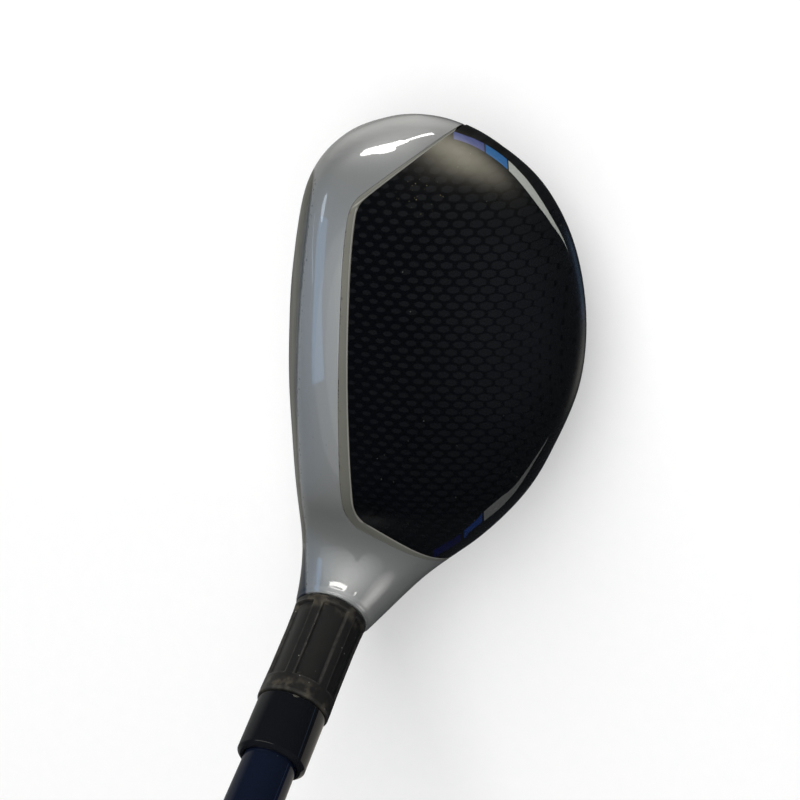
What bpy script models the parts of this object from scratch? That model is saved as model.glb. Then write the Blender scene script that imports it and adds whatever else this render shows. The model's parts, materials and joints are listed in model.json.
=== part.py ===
"""Adjustable hybrid golf club, right-handed, in its address position.

Frame: metres, +Z up, the ground at z = 0. The face looks along -Y, the toe is at -X and
the shaft leaves at the heel, at +X. The origin is on the ground at the middle of the sole.
"""
import math

import bmesh
import bpy
from mathutils import Matrix, Vector

MM = 0.001
GAP = 0.3 * MM

# Club
LIE = math.radians(58.0)
LOFT = math.radians(23.5)
CLUB_LENGTH = 1022.0 * MM
AXIS_GROUND = Vector((32.0, -5.7, 0.0)) * MM

# Head shell
FAN_PIVOT_X = 22.0
FAN_PIVOT_Z = 36.1
HOSEL_MOUTH = 25.3 * MM
HOSEL_RADIUS = 7.3
WALL = 2.2 * MM
CAVITY_END = 24.5 * MM
PANEL_THICKNESS = 1.0 * MM
PANEL_LEDGE = 4.0 * MM
RIM_CUT_HEIGHT = 12.0 * MM
OPENING_LOW = 20.0 * MM
SKY = 60.0 * MM
FACE_THICKNESS = 2.4 * MM
SECTION_POINTS_PER_QUARTER = 9
ROWS_PER_STATION = 3

# Heights are measured from the ground on the flat stations. On the fanned stations they are
# measured in the tilted plane, which turns about the fan pivot. Millimetres and degrees.
# plane x, fan angle, crest y, front y, rear y, top, bottom, front middle, rear rim, front power
STATIONS = (
    (-52.3, 0.0, 9.5, 9.5, 9.5, 17.0, 17.0, 17.0, 17.0, 2.2),
    (-51.2, 0.0, 9.0, 3.0, 16.0, 21.6, 11.6, 16.8, 16.6, 2.4),
    (-47.6, 0.0, 6.8, -4.9, 23.8, 27.0, 7.0, 17.0, 15.4, 3.0),
    (-41.0, 0.0, 3.0, -10.5, 31.8, 31.6, 3.0, 17.2, 14.2, 4.2),
    (-31.0, 0.0, 0.0, -13.7, 37.5, 34.6, 0.9, 17.4, 13.4, 5.4),
    (-18.0, 0.0, -2.0, -15.5, 40.3, 36.0, -0.1, 17.4, 13.0, 6.0),
    (-4.0, 0.0, -3.0, -16.1, 39.5, 35.8, -0.3, 17.2, 12.8, 6.0),
    (10.0, 0.0, -3.5, -15.7, 34.3, 34.0, -0.1, 16.6, 12.6, 6.0),
    (18.5, 1.5, -4.0, -15.0, 29.2, 31.2, 0.7, 15.6, 12.4, 5.4),
    (21.6, 16.0, -4.4, -14.2, 21.1, 26.8, 1.3, 13.6, 11.8, 4.2),
    (22.0, 36.0, -5.2, -13.3, 10.2, 21.3, 1.3, 11.0, 10.4, 2.8),
    (22.0, 58.0, -5.7, -5.7 - HOSEL_RADIUS, -5.7 + HOSEL_RADIUS, 8.5 + HOSEL_RADIUS,
     8.5 - HOSEL_RADIUS, 8.5, 8.5, 2.0),
)
REAR_POWER = 2.15

# Crown panel outline in plan, from the toe end of the front edge round to the heel end
PANEL_FRONT = ((-54.5, 21.5), (-40.6, 5.7), (-38.4, 4.1), (-34.0, 3.7), (-17.0, 3.6), (4.0, 3.3),
               (14.0, 3.0), (20.2, 2.6), (23.0, 3.3), (36.0, 17.2))
PANEL_BACK = ((36.0, 60.0), (-70.0, 60.0), (-70.0, 21.5))
PANEL_CORNERS = ((-54.5, 21.5), (-39.6, 4.4), (-17.0, 3.6), (21.4, 2.7), (36.0, 17.2))

# Face outline: x along the leading edge, up the face from the ground line
FACE_OUTLINE = ((-43.0, 17.0), (-40.5, 24.0), (-35.0, 29.3), (-26.0, 32.0), (-12.0, 33.4),
                (4.0, 32.4), (16.0, 29.4), (26.0, 24.6), (32.5, 18.0), (33.0, 11.5),
                (28.0, 6.8), (16.0, 4.6), (0.0, 4.0), (-16.0, 4.2), (-28.0, 5.4),
                (-37.5, 9.0))
LEADING_EDGE_Y = -21.4

# Hosel bore, screw and sleeve, all measured along the hosel axis from the ground
BORE_RADIUS = 6.1 * MM
BORE_BOTTOM = 12.6 * MM
SEAT_HOLE_RADIUS = 2.9 * MM
SEAT_BOTTOM = 9.8 * MM
HEAD_RECESS_RADIUS = 4.7 * MM
SLEEVE_BOTTOM = BORE_BOTTOM + 0.4 * MM
SLEEVE_TOP = 47.3 * MM
SLEEVE_RADIUS = 7.0 * MM
FERRULE_RADIUS = 6.65 * MM
SLEEVE_PLUG_RADIUS = BORE_RADIUS - GAP
SLEEVE_TEETH = 12
TOOTH_ZONE = (21.4 * MM, 25.0 * MM)
TOOTH_RADIUS = 6.5 * MM
TOOTH_WIDTH = math.radians(10.0)
GROOVE_WIDTH = math.radians(17.0)
FLUTES = 6
FLUTE_FIRST = math.radians(153.0)
FLUTE_WIDTH = math.radians(42.0)
FLUTE_DEPTH = 0.45 * MM
FLUTE_ZONE = (27.0 * MM, 43.4 * MM)
SHAFT_SOCKET_BOTTOM = 27.0 * MM
SCREW_RADIUS = 2.5 * MM
SCREW_TIP = 23.0 * MM
SCREW_HEAD_RADIUS = 4.2 * MM
SCREW_HEAD = (5.9 * MM, 9.0 * MM)

# Ferrule, shaft and grip
FERRULE_TOP = 59.3 * MM
SHAFT_TIP_RADIUS = 4.9 * MM
SHAFT_COLLAR_RADIUS = 5.2 * MM
SHAFT_BUTT_RADIUS = 7.6 * MM
SHAFT_WALL = 1.5 * MM
SHAFT_TAPER_END = 800.0 * MM
GRIP_LENGTH = 267.0 * MM
GRIP_MOUTH_RADIUS = 9.9 * MM
GRIP_BUTT_RADIUS = 13.2 * MM
TAPE_THICKNESS = 0.5 * MM

# Sole furniture
SLOT_CENTRE = Vector((-4.0, -9.0)) * MM
SLOT_LENGTH = 48.0 * MM
SLOT_WIDTH = 3.6 * MM
WEIGHT_SEAT = Vector((-6.0, 24.0, 2.3)) * MM
WEIGHT_TILT = math.radians(14.0)
WEIGHT_RADIUS = 6.1 * MM
WEIGHT_STEM_RADIUS = 3.0 * MM
WEIGHT_HEAD_DEPTH = 3.2 * MM
WEIGHT_DEPTH = 9.0 * MM
BOSS_TOP = 10.0 * MM

# How far the plain cutters run, always past what they cut
GROUND_REACH = 100.0 * MM
GROUND_DEPTH = 20.0 * MM
CAVITY_LOW = Vector((-80.0, -50.0, -10.0)) * MM
CAVITY_HIGH = Vector((CAVITY_END / MM, 60.0, 50.0)) * MM
FACE_CUT = (-6.0 * MM, 20.0 * MM)
SLOT_CUT = (-10.0 * MM, 8.0 * MM)
PORT_CUT_START = -6.0 * MM
PORT_THREAD_END = 20.0 * MM
BORE_CUT_END = 50.0 * MM
SCREW_HOLE_END = 20.0 * MM
SCREW_RECESS_START = -10.0 * MM
ON_AXIS = 1e-7


def clear_scene():
    for obj in list(bpy.data.objects):
        bpy.data.objects.remove(obj, do_unlink=True)


def material(name, colour, roughness, metallic):
    mat = bpy.data.materials.new(name)
    mat.use_nodes = True
    shader = mat.node_tree.nodes["Principled BSDF"]
    shader.inputs["Base Color"].default_value = (*colour, 1.0)
    shader.inputs["Roughness"].default_value = roughness
    shader.inputs["Metallic"].default_value = metallic
    return mat


def catmull_rom(rows, u):
    """The row at position u, 0 at the first row, on a smooth curve through all the rows."""
    last = len(rows) - 1
    i = min(int(u), last - 1)
    t = u - i
    before = rows[max(i - 1, 0)]
    after = rows[min(i + 2, last)]
    blended = []
    for a, b, c, d in zip(before, rows[i], rows[i + 1], after):
        slope_b = (c - a) / 2
        slope_c = (d - b) / 2
        blended.append((2 * t**3 - 3 * t**2 + 1) * b + (t**3 - 2 * t**2 + t) * slope_b
                       + (3 * t**2 - 2 * t**3) * c + (t**3 - t**2) * slope_c)
    return blended


def quarter(start_angle, depth, height, power, count):
    """Points evenly spaced along a quarter of a superellipse, without its last point."""
    fine = 60
    curve = []
    for k in range(fine + 1):
        a = start_angle + math.pi / 2 * k / fine
        c = math.cos(a)
        s = math.sin(a)
        y = math.copysign(abs(c) ** (2 / power), c) * depth
        z = math.copysign(abs(s) ** (2 / power), s) * height
        curve.append((y, z))
    lengths = [0.0]
    for p, q in zip(curve, curve[1:]):
        lengths.append(lengths[-1] + math.dist(p, q))
    points = []
    j = 0
    for k in range(count):
        wanted = lengths[-1] * k / count
        while lengths[j + 1] < wanted:
            j += 1
        span = lengths[j + 1] - lengths[j]
        t = (wanted - lengths[j]) / span if span > 0 else 0.0
        points.append((curve[j][0] + (curve[j + 1][0] - curve[j][0]) * t,
                       curve[j][1] + (curve[j + 1][1] - curve[j][1]) * t))
    return points


def section(u, count):
    """A closed ring of points round the head at station u, in metres."""
    x, fan, crest, front, rear, top, bottom, middle, rim, power = catmull_rom(STATIONS, u)
    quarters = (
        (0.0, rear - crest, top - rim, REAR_POWER, rim),
        (math.pi / 2, crest - front, top - middle, power, middle),
        (math.pi, crest - front, middle - bottom, min(power, 4.2), middle),
        (1.5 * math.pi, rear - crest, rim - bottom, REAR_POWER, rim),
    )
    lean = math.tan(LOFT) * (power - 2.0) / 4.0
    ring = []
    for start, depth, height, sharpness, level in quarters:
        for dy, dz in quarter(start, depth, height, sharpness, count):
            y = crest + dy
            z = level + dz
            if dy < 0 and depth > 0:
                y += lean * (z - middle) * (-dy / depth) ** 1.5
            tilt = math.radians(fan)
            drop = z - FAN_PIVOT_Z
            ring.append(Vector((x - drop * math.sin(tilt), y,
                                FAN_PIVOT_Z + drop * math.cos(tilt))) * MM)
    return ring


def mesh_object(name, bm, mat=None):
    mesh = bpy.data.meshes.new(name)
    bmesh.ops.recalc_face_normals(bm, faces=bm.faces)
    bm.to_mesh(mesh)
    bm.free()
    obj = bpy.data.objects.new(name, mesh)
    bpy.context.collection.objects.link(obj)
    if mat is not None:
        mesh.materials.append(mat)
    return obj


def cutter(obj):
    obj.hide_render = True
    obj.display_type = "WIRE"
    return obj


def boolean(obj, operation, other):
    mod = obj.modifiers.new(f"{operation.lower()}_{other.name}", "BOOLEAN")
    mod.operation = operation
    mod.object = other
    mod.solver = "EXACT"


def head_loft(name, inset, mat=None):
    """The closed outer form of the head, moved inwards by inset."""
    bm = bmesh.new()
    rows = (len(STATIONS) - 1) * ROWS_PER_STATION
    rings = []
    toe = bm.verts.new(section(0.0, 1)[0])
    for row in range(1, rows + 1):
        ring = section(row / ROWS_PER_STATION, SECTION_POINTS_PER_QUARTER)
        rings.append([bm.verts.new(p) for p in ring])
    size = len(rings[0])
    for k in range(size):
        bm.faces.new((toe, rings[0][k], rings[0][(k + 1) % size]))
    for a, b in zip(rings, rings[1:]):
        for k in range(size):
            j = (k + 1) % size
            bm.faces.new((a[k], b[k], b[j], a[j]))
    bm.faces.new(rings[-1])
    bmesh.ops.recalc_face_normals(bm, faces=bm.faces)
    bm.normal_update()
    if inset:
        moves = [(v, v.normal * inset) for v in bm.verts]
        for v, move in moves:
            v.co -= move
    return mesh_object(name, bm, mat)


def prism(name, outline, low, high, frame=Matrix.Identity(4), mat=None):
    """A closed outline in millimetres, pushed from low to high along its frame's z."""
    bm = bmesh.new()
    base = [bm.verts.new(frame @ Vector((x * MM, y * MM, low))) for x, y in outline]
    lid = [bm.verts.new(frame @ Vector((x * MM, y * MM, high))) for x, y in outline]
    bm.faces.new(base)
    bm.faces.new(lid[::-1])
    for k in range(len(base)):
        j = (k + 1) % len(base)
        bm.faces.new((base[k], base[j], lid[j], lid[k]))
    return mesh_object(name, bm, mat)


def inset_outline(points, distance):
    """A closed outline with every side moved inwards; the points run either way round."""
    area = sum(a[0] * b[1] - b[0] * a[1] for a, b in zip(points, points[1:] + points[:1]))
    sign = 1.0 if area > 0 else -1.0
    moved = []
    for k, here in enumerate(points):
        p = Vector(points[k - 1])
        q = Vector(here)
        r = Vector(points[(k + 1) % len(points)])
        normal_in = Vector((-(q - p).y, (q - p).x)).normalized() * sign
        normal_out = Vector((-(r - q).y, (r - q).x)).normalized() * sign
        middle = (normal_in + normal_out).normalized()
        reach = distance / max(middle.dot(normal_in), 0.3)
        moved.append(tuple(q + middle * reach))
    return moved


def rounded_curve(points, per_span):
    """Points on a smooth open curve through the given points."""
    curve = []
    for k in range(len(points) - 1):
        for step in range(per_span):
            curve.append(tuple(catmull_rom(points, k + step / per_span)))
    curve.append(points[-1])
    return curve


def closed_curve(points, per_span):
    """Points on a smooth closed curve through the given points."""
    lap = points[-1:] + points + points[:2]
    curve = []
    for k in range(len(points)):
        for step in range(per_span):
            curve.append(tuple(catmull_rom(lap, k + 1 + step / per_span)))
    return curve


def turned(name, profile, segments, mat=None, parent=None):
    """A solid turned about local z from (radius, height) points: the outer side from the top
    down, then the bore, if any, from the bottom up. A point at radius 0 closes an end."""
    bm = bmesh.new()
    rings = []
    for radius, height in profile:
        if radius < ON_AXIS:
            rings.append([bm.verts.new((0.0, 0.0, height))])
            continue
        ring = []
        for k in range(segments):
            a = 2 * math.pi * k / segments
            ring.append(bm.verts.new((radius * math.cos(a), radius * math.sin(a), height)))
        rings.append(ring)
    closed = profile[0][0] > ON_AXIS
    pairs = list(zip(rings, rings[1:]))
    if closed:
        pairs.append((rings[-1], rings[0]))
    for a, b in pairs:
        for k in range(segments):
            j = (k + 1) % segments
            if len(a) == 1:
                bm.faces.new((a[0], b[k], b[j]))
            elif len(b) == 1:
                bm.faces.new((a[k], b[0], a[j]))
            else:
                bm.faces.new((a[k], b[k], b[j], a[j]))
    obj = mesh_object(name, bm, mat)
    obj.data.shade_smooth()
    obj.data.set_sharp_from_angle(angle=math.radians(30))
    if parent is not None:
        obj.parent = parent
    return obj


def hosel_frame():
    """An empty on the hosel axis, where it meets the ground, with its z up the shaft."""
    empty = bpy.data.objects.new("hosel_axis", None)
    empty.location = AXIS_GROUND
    empty.rotation_euler = (0.0, math.pi / 2 - LIE, 0.0)
    bpy.context.collection.objects.link(empty)
    bpy.context.view_layer.update()
    return empty


def hang_on(empty, obj):
    """Parent an object built in world coordinates without moving it."""
    obj.parent = empty
    obj.matrix_parent_inverse = empty.matrix_world.inverted()


def panel_outline(spread):
    """The panel's outline in plan, moved outwards by spread."""
    front = rounded_curve(PANEL_FRONT[1:-1], 2)
    points = [PANEL_FRONT[0]] + front + [PANEL_FRONT[-1]] + list(PANEL_BACK)
    return inset_outline(points, -spread / MM) if spread else points


def face_frame():
    """Local x along the leading edge, y up the face, z out of the face."""
    out = Vector((0.0, -math.cos(LOFT), math.sin(LOFT)))
    up = Vector((0.0, math.sin(LOFT), math.cos(LOFT)))
    across = up.cross(out)
    rotation = Matrix((across, up, out)).transposed().to_4x4()
    return Matrix.Translation(Vector((0.0, LEADING_EDGE_Y, 0.0)) * MM) @ rotation


def face_prism(name, shrink):
    """The face outline pushed through the face, its sides moved inwards by shrink."""
    outline = closed_curve(FACE_OUTLINE, 2)
    if shrink:
        outline = inset_outline(outline, shrink / MM)
    return cutter(prism(name, outline, *FACE_CUT, face_frame()))


def capsule(length, width, count=8):
    """A closed slot outline with round ends, centred, in millimetres."""
    radius = width / 2 / MM
    reach = (length - width) / 2 / MM
    points = []
    for side, start in ((1, -math.pi / 2), (-1, math.pi / 2)):
        for k in range(count + 1):
            a = start + math.pi * k / count
            points.append((side * reach + radius * math.cos(a), radius * math.sin(a)))
    return points


def slab(name, low, high):
    """A plain block between two corners, used only to cut."""
    outline = [(low[0] / MM, low[1] / MM), (high[0] / MM, low[1] / MM),
               (high[0] / MM, high[1] / MM), (low[0] / MM, high[1] / MM)]
    return cutter(prism(name, outline, low[2], high[2]))


def ground_block(name):
    """What lies below the ground under the whole head, used only to cut."""
    return slab(name, (-GROUND_REACH, -GROUND_REACH, -GROUND_DEPTH),
                (GROUND_REACH, GROUND_REACH, 0.0))


def shell_cap(name, inset, outline, low, high):
    """The part of the space inside the outline that lies outside the inset head form."""
    block = cutter(prism(name, outline, low, high))
    core = cutter(head_loft(f"{name}_core", inset))
    boolean(block, "DIFFERENCE", core)
    return block


def weight_frame():
    """An empty on the rear of the sole, with its z pointing into the head."""
    empty = bpy.data.objects.new("weight_axis", None)
    empty.location = WEIGHT_SEAT
    empty.rotation_euler = (WEIGHT_TILT, 0.0, 0.0)
    bpy.context.collection.objects.link(empty)
    return empty


def drum(name, radius, low, high, segments, parent):
    """A plain turned cutter along its parent's z."""
    profile = ((0.0, high), (radius, high), (radius, low), (0.0, low))
    return cutter(turned(name, profile, segments, parent=parent))


def star(name, inner, outer, width, low, high, parent):
    """A toothed drum along its parent's z."""
    bm = bmesh.new()
    outline = []
    for tooth in range(SLEEVE_TEETH):
        centre = 2 * math.pi * tooth / SLEEVE_TEETH
        for angle, radius in ((-width / 2, inner), (-width / 2, outer),
                              (width / 2, outer), (width / 2, inner)):
            a = centre + angle
            outline.append((radius * math.cos(a), radius * math.sin(a)))
    base = [bm.verts.new((x, y, low)) for x, y in outline]
    lid = [bm.verts.new((x, y, high)) for x, y in outline]
    bm.faces.new(base)
    bm.faces.new(lid)
    for k in range(len(outline)):
        j = (k + 1) % len(outline)
        bm.faces.new((base[k], base[j], lid[j], lid[k]))
    obj = cutter(mesh_object(name, bm))
    obj.parent = parent
    return obj


def make_body(hosel, port, mat):
    body = head_loft("body_casting", 0.0, mat)
    boolean(body, "DIFFERENCE", ground_block("ground_block"))

    cavity = cutter(head_loft("cavity", WALL))
    boolean(cavity, "INTERSECT", slab("cavity_limit", CAVITY_LOW, CAVITY_HIGH))
    boolean(body, "DIFFERENCE", cavity)

    boss_profile = ((0.0, BOSS_TOP), (WEIGHT_RADIUS + 2.4 * MM, BOSS_TOP),
                    (WEIGHT_RADIUS + 2.4 * MM, 1.0 * MM), (0.0, 1.0 * MM))
    boolean(body, "UNION", cutter(turned("weight_boss", boss_profile, 24, parent=port)))

    recess = shell_cap("panel_recess", PANEL_THICKNESS + GAP, panel_outline(GAP),
                       RIM_CUT_HEIGHT - GAP, SKY)
    boolean(body, "DIFFERENCE", recess)
    inner = inset_outline(list(PANEL_CORNERS + PANEL_BACK), PANEL_LEDGE / MM)
    opening = cutter(prism("crown_opening", inner, OPENING_LOW, SKY))
    boolean(body, "DIFFERENCE", opening)
    boolean(body, "DIFFERENCE", face_prism("face_window", -GAP))

    slot = capsule(SLOT_LENGTH, SLOT_WIDTH)
    slot_place = Matrix.Translation((SLOT_CENTRE.x, SLOT_CENTRE.y, 0.0))
    boolean(body, "DIFFERENCE", cutter(prism("slot_cut", slot, *SLOT_CUT, slot_place)))

    boolean(body, "DIFFERENCE", drum("port_recess", WEIGHT_RADIUS + GAP, PORT_CUT_START,
                                     WEIGHT_HEAD_DEPTH + 3 * GAP, 32, port))
    boolean(body, "DIFFERENCE", drum("port_thread", WEIGHT_STEM_RADIUS + GAP, 0.0,
                                     PORT_THREAD_END, 24, port))

    boolean(body, "DIFFERENCE", drum("sleeve_bore", BORE_RADIUS, BORE_BOTTOM, BORE_CUT_END,
                                     40, hosel))
    grooves = star("sleeve_grooves", BORE_RADIUS - 0.5 * MM, TOOTH_RADIUS + GAP, GROOVE_WIDTH,
                   TOOTH_ZONE[0] - GAP, BORE_CUT_END, hosel)
    boolean(body, "DIFFERENCE", grooves)
    boolean(body, "DIFFERENCE", drum("screw_hole", SEAT_HOLE_RADIUS, 0.0, SCREW_HOLE_END,
                                     24, hosel))
    boolean(body, "DIFFERENCE", drum("screw_recess", HEAD_RECESS_RADIUS, SCREW_RECESS_START,
                                     SEAT_BOTTOM, 32, hosel))
    hang_on(hosel, body)
    return body


def make_crown_panel(hosel, mat):
    panel = head_loft("crown_panel", 0.0, mat)
    blank = cutter(prism("panel_blank", panel_outline(0.0), RIM_CUT_HEIGHT, SKY))
    boolean(panel, "INTERSECT", blank)
    boolean(panel, "DIFFERENCE", cutter(head_loft("panel_core", PANEL_THICKNESS)))
    hang_on(hosel, panel)
    return panel


def make_face_plate(hosel, mat):
    plate = head_loft("face_plate", 0.0, mat)
    boolean(plate, "INTERSECT", face_prism("face_blank", 0.0))
    boolean(plate, "DIFFERENCE", cutter(head_loft("face_core", FACE_THICKNESS)))
    hang_on(hosel, plate)
    return plate


def make_slot_insert(hosel, mat):
    insert = head_loft("slot_insert", 0.0, mat)
    outline = capsule(SLOT_LENGTH - 2 * GAP, SLOT_WIDTH - 2 * GAP)
    place = Matrix.Translation((SLOT_CENTRE.x, SLOT_CENTRE.y, 0.0))
    boolean(insert, "INTERSECT", cutter(prism("slot_blank", outline, *SLOT_CUT, place)))
    boolean(insert, "DIFFERENCE", cutter(head_loft("slot_core", WALL)))
    boolean(insert, "DIFFERENCE", ground_block("slot_ground"))
    hang_on(hosel, insert)
    return insert


def six_lobe(name, radius, low, high, parent):
    """A six-lobed key socket along its parent's z."""
    bm = bmesh.new()
    sides = 24
    outline = []
    for k in range(sides):
        a = 2 * math.pi * k / sides
        r = radius * (0.86 + 0.14 * math.cos(6 * a))
        outline.append((r * math.cos(a), r * math.sin(a)))
    base = [bm.verts.new((x, y, low)) for x, y in outline]
    lid = [bm.verts.new((x, y, high)) for x, y in outline]
    bm.faces.new(base)
    bm.faces.new(lid)
    for k in range(sides):
        j = (k + 1) % sides
        bm.faces.new((base[k], base[j], lid[j], lid[k]))
    obj = cutter(mesh_object(name, bm))
    obj.parent = parent
    return obj


def make_weight(port, weight_mat, washer_mat):
    seat = WEIGHT_HEAD_DEPTH
    profile = ((0.0, WEIGHT_DEPTH), (WEIGHT_STEM_RADIUS, WEIGHT_DEPTH),
               (WEIGHT_STEM_RADIUS, seat), (WEIGHT_RADIUS, seat),
               (WEIGHT_RADIUS, 0.9 * MM), (WEIGHT_RADIUS - 0.5 * MM, 0.4 * MM), (0.0, 0.4 * MM))
    weight = turned("rear_weight", profile, 32, weight_mat, port)
    boolean(weight, "DIFFERENCE", six_lobe("weight_key", 2.6 * MM, -2.0 * MM, 2.2 * MM, port))
    washer_profile = ((WEIGHT_RADIUS - 0.4 * MM, seat + 2.2 * GAP),
                      (WEIGHT_RADIUS - 0.4 * MM, seat + 0.6 * GAP),
                      (WEIGHT_STEM_RADIUS + GAP, seat + 0.6 * GAP),
                      (WEIGHT_STEM_RADIUS + GAP, seat + 2.2 * GAP))
    washer = turned("weight_washer", washer_profile, 32, washer_mat, port)
    return weight, washer


def make_sleeve_screw(hosel, screw_mat, washer_mat, retainer_mat):
    low, high = SCREW_HEAD
    profile = ((0.0, SCREW_TIP), (SCREW_RADIUS - 0.6 * MM, SCREW_TIP),
               (SCREW_RADIUS, SCREW_TIP - 0.6 * MM), (SCREW_RADIUS, high),
               (SCREW_HEAD_RADIUS, high), (SCREW_HEAD_RADIUS, low + 0.5 * MM),
               (SCREW_HEAD_RADIUS - 0.5 * MM, low), (0.0, low))
    screw = turned("sleeve_screw", profile, 32, screw_mat, hosel)
    boolean(screw, "DIFFERENCE", six_lobe("screw_key", 2.2 * MM, 0.0, low + 2.2 * MM, hosel))

    washer_profile = ((SCREW_HEAD_RADIUS - 0.8 * MM, SEAT_BOTTOM - 0.1 * MM),
                      (SCREW_HEAD_RADIUS, SEAT_BOTTOM - 0.4 * MM),
                      (SCREW_HEAD_RADIUS, high + 0.1 * MM),
                      (SCREW_RADIUS + GAP, high + 0.1 * MM),
                      (SCREW_RADIUS + GAP, SEAT_BOTTOM - 0.1 * MM))
    washer = turned("screw_washer", washer_profile, 32, washer_mat, hosel)

    retainer_profile = ((SEAT_HOLE_RADIUS + 0.8 * MM, BORE_BOTTOM + 1.0 * MM),
                        (SEAT_HOLE_RADIUS + 0.8 * MM, BORE_BOTTOM + 0.1 * MM),
                        (SCREW_RADIUS + 0.1 * MM, BORE_BOTTOM + 0.1 * MM),
                        (SCREW_RADIUS + 0.1 * MM, BORE_BOTTOM + 1.0 * MM))
    retainer = turned("screw_retainer", retainer_profile, 24, retainer_mat, hosel)
    return screw, washer, retainer


def make_loft_sleeve(hosel, mat):
    profile = ((SLEEVE_RADIUS - 0.3 * MM, SLEEVE_TOP), (SLEEVE_RADIUS, SLEEVE_TOP - 0.4 * MM),
               (SLEEVE_RADIUS, 45.0 * MM), (SLEEVE_RADIUS - 0.1 * MM, 41.0 * MM),
               (SLEEVE_RADIUS - 0.1 * MM, 32.0 * MM), (SLEEVE_RADIUS, 28.0 * MM),
               (SLEEVE_RADIUS + 0.1 * MM, 26.4 * MM), (SLEEVE_RADIUS + 0.1 * MM, 25.6 * MM),
               (SLEEVE_PLUG_RADIUS, 25.4 * MM), (SLEEVE_PLUG_RADIUS, SLEEVE_BOTTOM + 1.0 * MM),
               (SLEEVE_PLUG_RADIUS - 0.8 * MM, SLEEVE_BOTTOM + 0.9 * MM),
               (SEAT_HOLE_RADIUS + 1.2 * MM, SLEEVE_BOTTOM + 0.9 * MM),
               (SCREW_RADIUS + GAP, SLEEVE_BOTTOM + 0.9 * MM),
               (SCREW_RADIUS + GAP, SHAFT_SOCKET_BOTTOM),
               (SHAFT_TIP_RADIUS + GAP, SHAFT_SOCKET_BOTTOM),
               (SHAFT_TIP_RADIUS + GAP, SLEEVE_TOP))
    sleeve = turned("loft_sleeve", profile, 48, mat, hosel)
    teeth = star("sleeve_teeth", BORE_RADIUS - 2 * GAP, TOOTH_RADIUS, TOOTH_WIDTH,
                 TOOTH_ZONE[0], TOOTH_ZONE[1], hosel)
    teeth_core = drum("teeth_core", BORE_RADIUS - 3 * GAP, 0.0, BORE_CUT_END, 24, hosel)
    boolean(teeth, "DIFFERENCE", teeth_core)
    boolean(sleeve, "UNION", teeth)
    for k in range(FLUTES):
        boolean(sleeve, "DIFFERENCE", flute_cutter(k, hosel))
    return sleeve


def flute_cutter(index, hosel):
    """A curved pad that cuts one shallow window with a floor concentric with the sleeve."""
    low, high = FLUTE_ZONE
    floor = SLEEVE_RADIUS - 0.1 * MM - FLUTE_DEPTH
    outside = SLEEVE_RADIUS + 3 * MM
    steps = 5
    bm = bmesh.new()
    rows = []
    for radius, height in ((floor, low), (outside, low), (outside, high), (floor, high)):
        row = []
        for k in range(steps + 1):
            a = FLUTE_FIRST + 2 * math.pi * index / FLUTES + FLUTE_WIDTH * (k / steps - 0.5)
            row.append(bm.verts.new((radius * math.cos(a), radius * math.sin(a), height)))
        rows.append(row)
    for a, b in zip(rows, rows[1:] + rows[:1]):
        for k in range(steps):
            bm.faces.new((a[k], a[k + 1], b[k + 1], b[k]))
    bm.faces.new([row[0] for row in rows])
    bm.faces.new([row[-1] for row in rows])
    obj = cutter(mesh_object(f"flute_{index}", bm))
    obj.parent = hosel
    return obj


def shaft_radius(height):
    """Outer radius of the shaft at a height along the hosel axis."""
    stations = ((0.0, SHAFT_TIP_RADIUS), (SLEEVE_TOP, SHAFT_TIP_RADIUS),
                (FERRULE_TOP, SHAFT_COLLAR_RADIUS), (SHAFT_TAPER_END, SHAFT_BUTT_RADIUS),
                (CLUB_LENGTH, SHAFT_BUTT_RADIUS))
    for (low, r_low), (high, r_high) in zip(stations, stations[1:]):
        if height <= high:
            return r_low + (r_high - r_low) * (height - low) / (high - low)
    return SHAFT_BUTT_RADIUS


def make_ferrule(hosel, mat):
    low = SLEEVE_TOP + GAP
    high = FERRULE_TOP
    chamfer = 0.7 * MM
    profile = ((FERRULE_RADIUS - chamfer, high), (FERRULE_RADIUS, high - chamfer),
               (FERRULE_RADIUS, low + 0.2 * MM), (FERRULE_RADIUS - 0.2 * MM, low),
               (shaft_radius(low) + GAP, low), (shaft_radius(high) + GAP, high))
    return turned("ferrule", profile, 48, mat, hosel)


def make_shaft(hosel, mat, plug_mat):
    low = SHAFT_SOCKET_BOTTOM + GAP
    high = CLUB_LENGTH - 7 * MM
    heights = (high, SHAFT_TAPER_END, 600.0 * MM, 400.0 * MM, 200.0 * MM, FERRULE_TOP,
               SLEEVE_TOP, low)
    outer = [(shaft_radius(h), h) for h in heights]
    inner = [(shaft_radius(h) - SHAFT_WALL, h) for h in reversed(heights)]
    shaft = turned("shaft", outer + inner, 24, mat, hosel)
    bore = SHAFT_TIP_RADIUS - SHAFT_WALL - GAP
    plug_profile = ((0.0, low + 12 * MM), (bore, low + 12 * MM), (bore, low + 0.5 * MM),
                    (0.0, low + 0.5 * MM))
    plug = turned("tip_plug", plug_profile, 20, plug_mat, hosel)
    return shaft, plug


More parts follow.
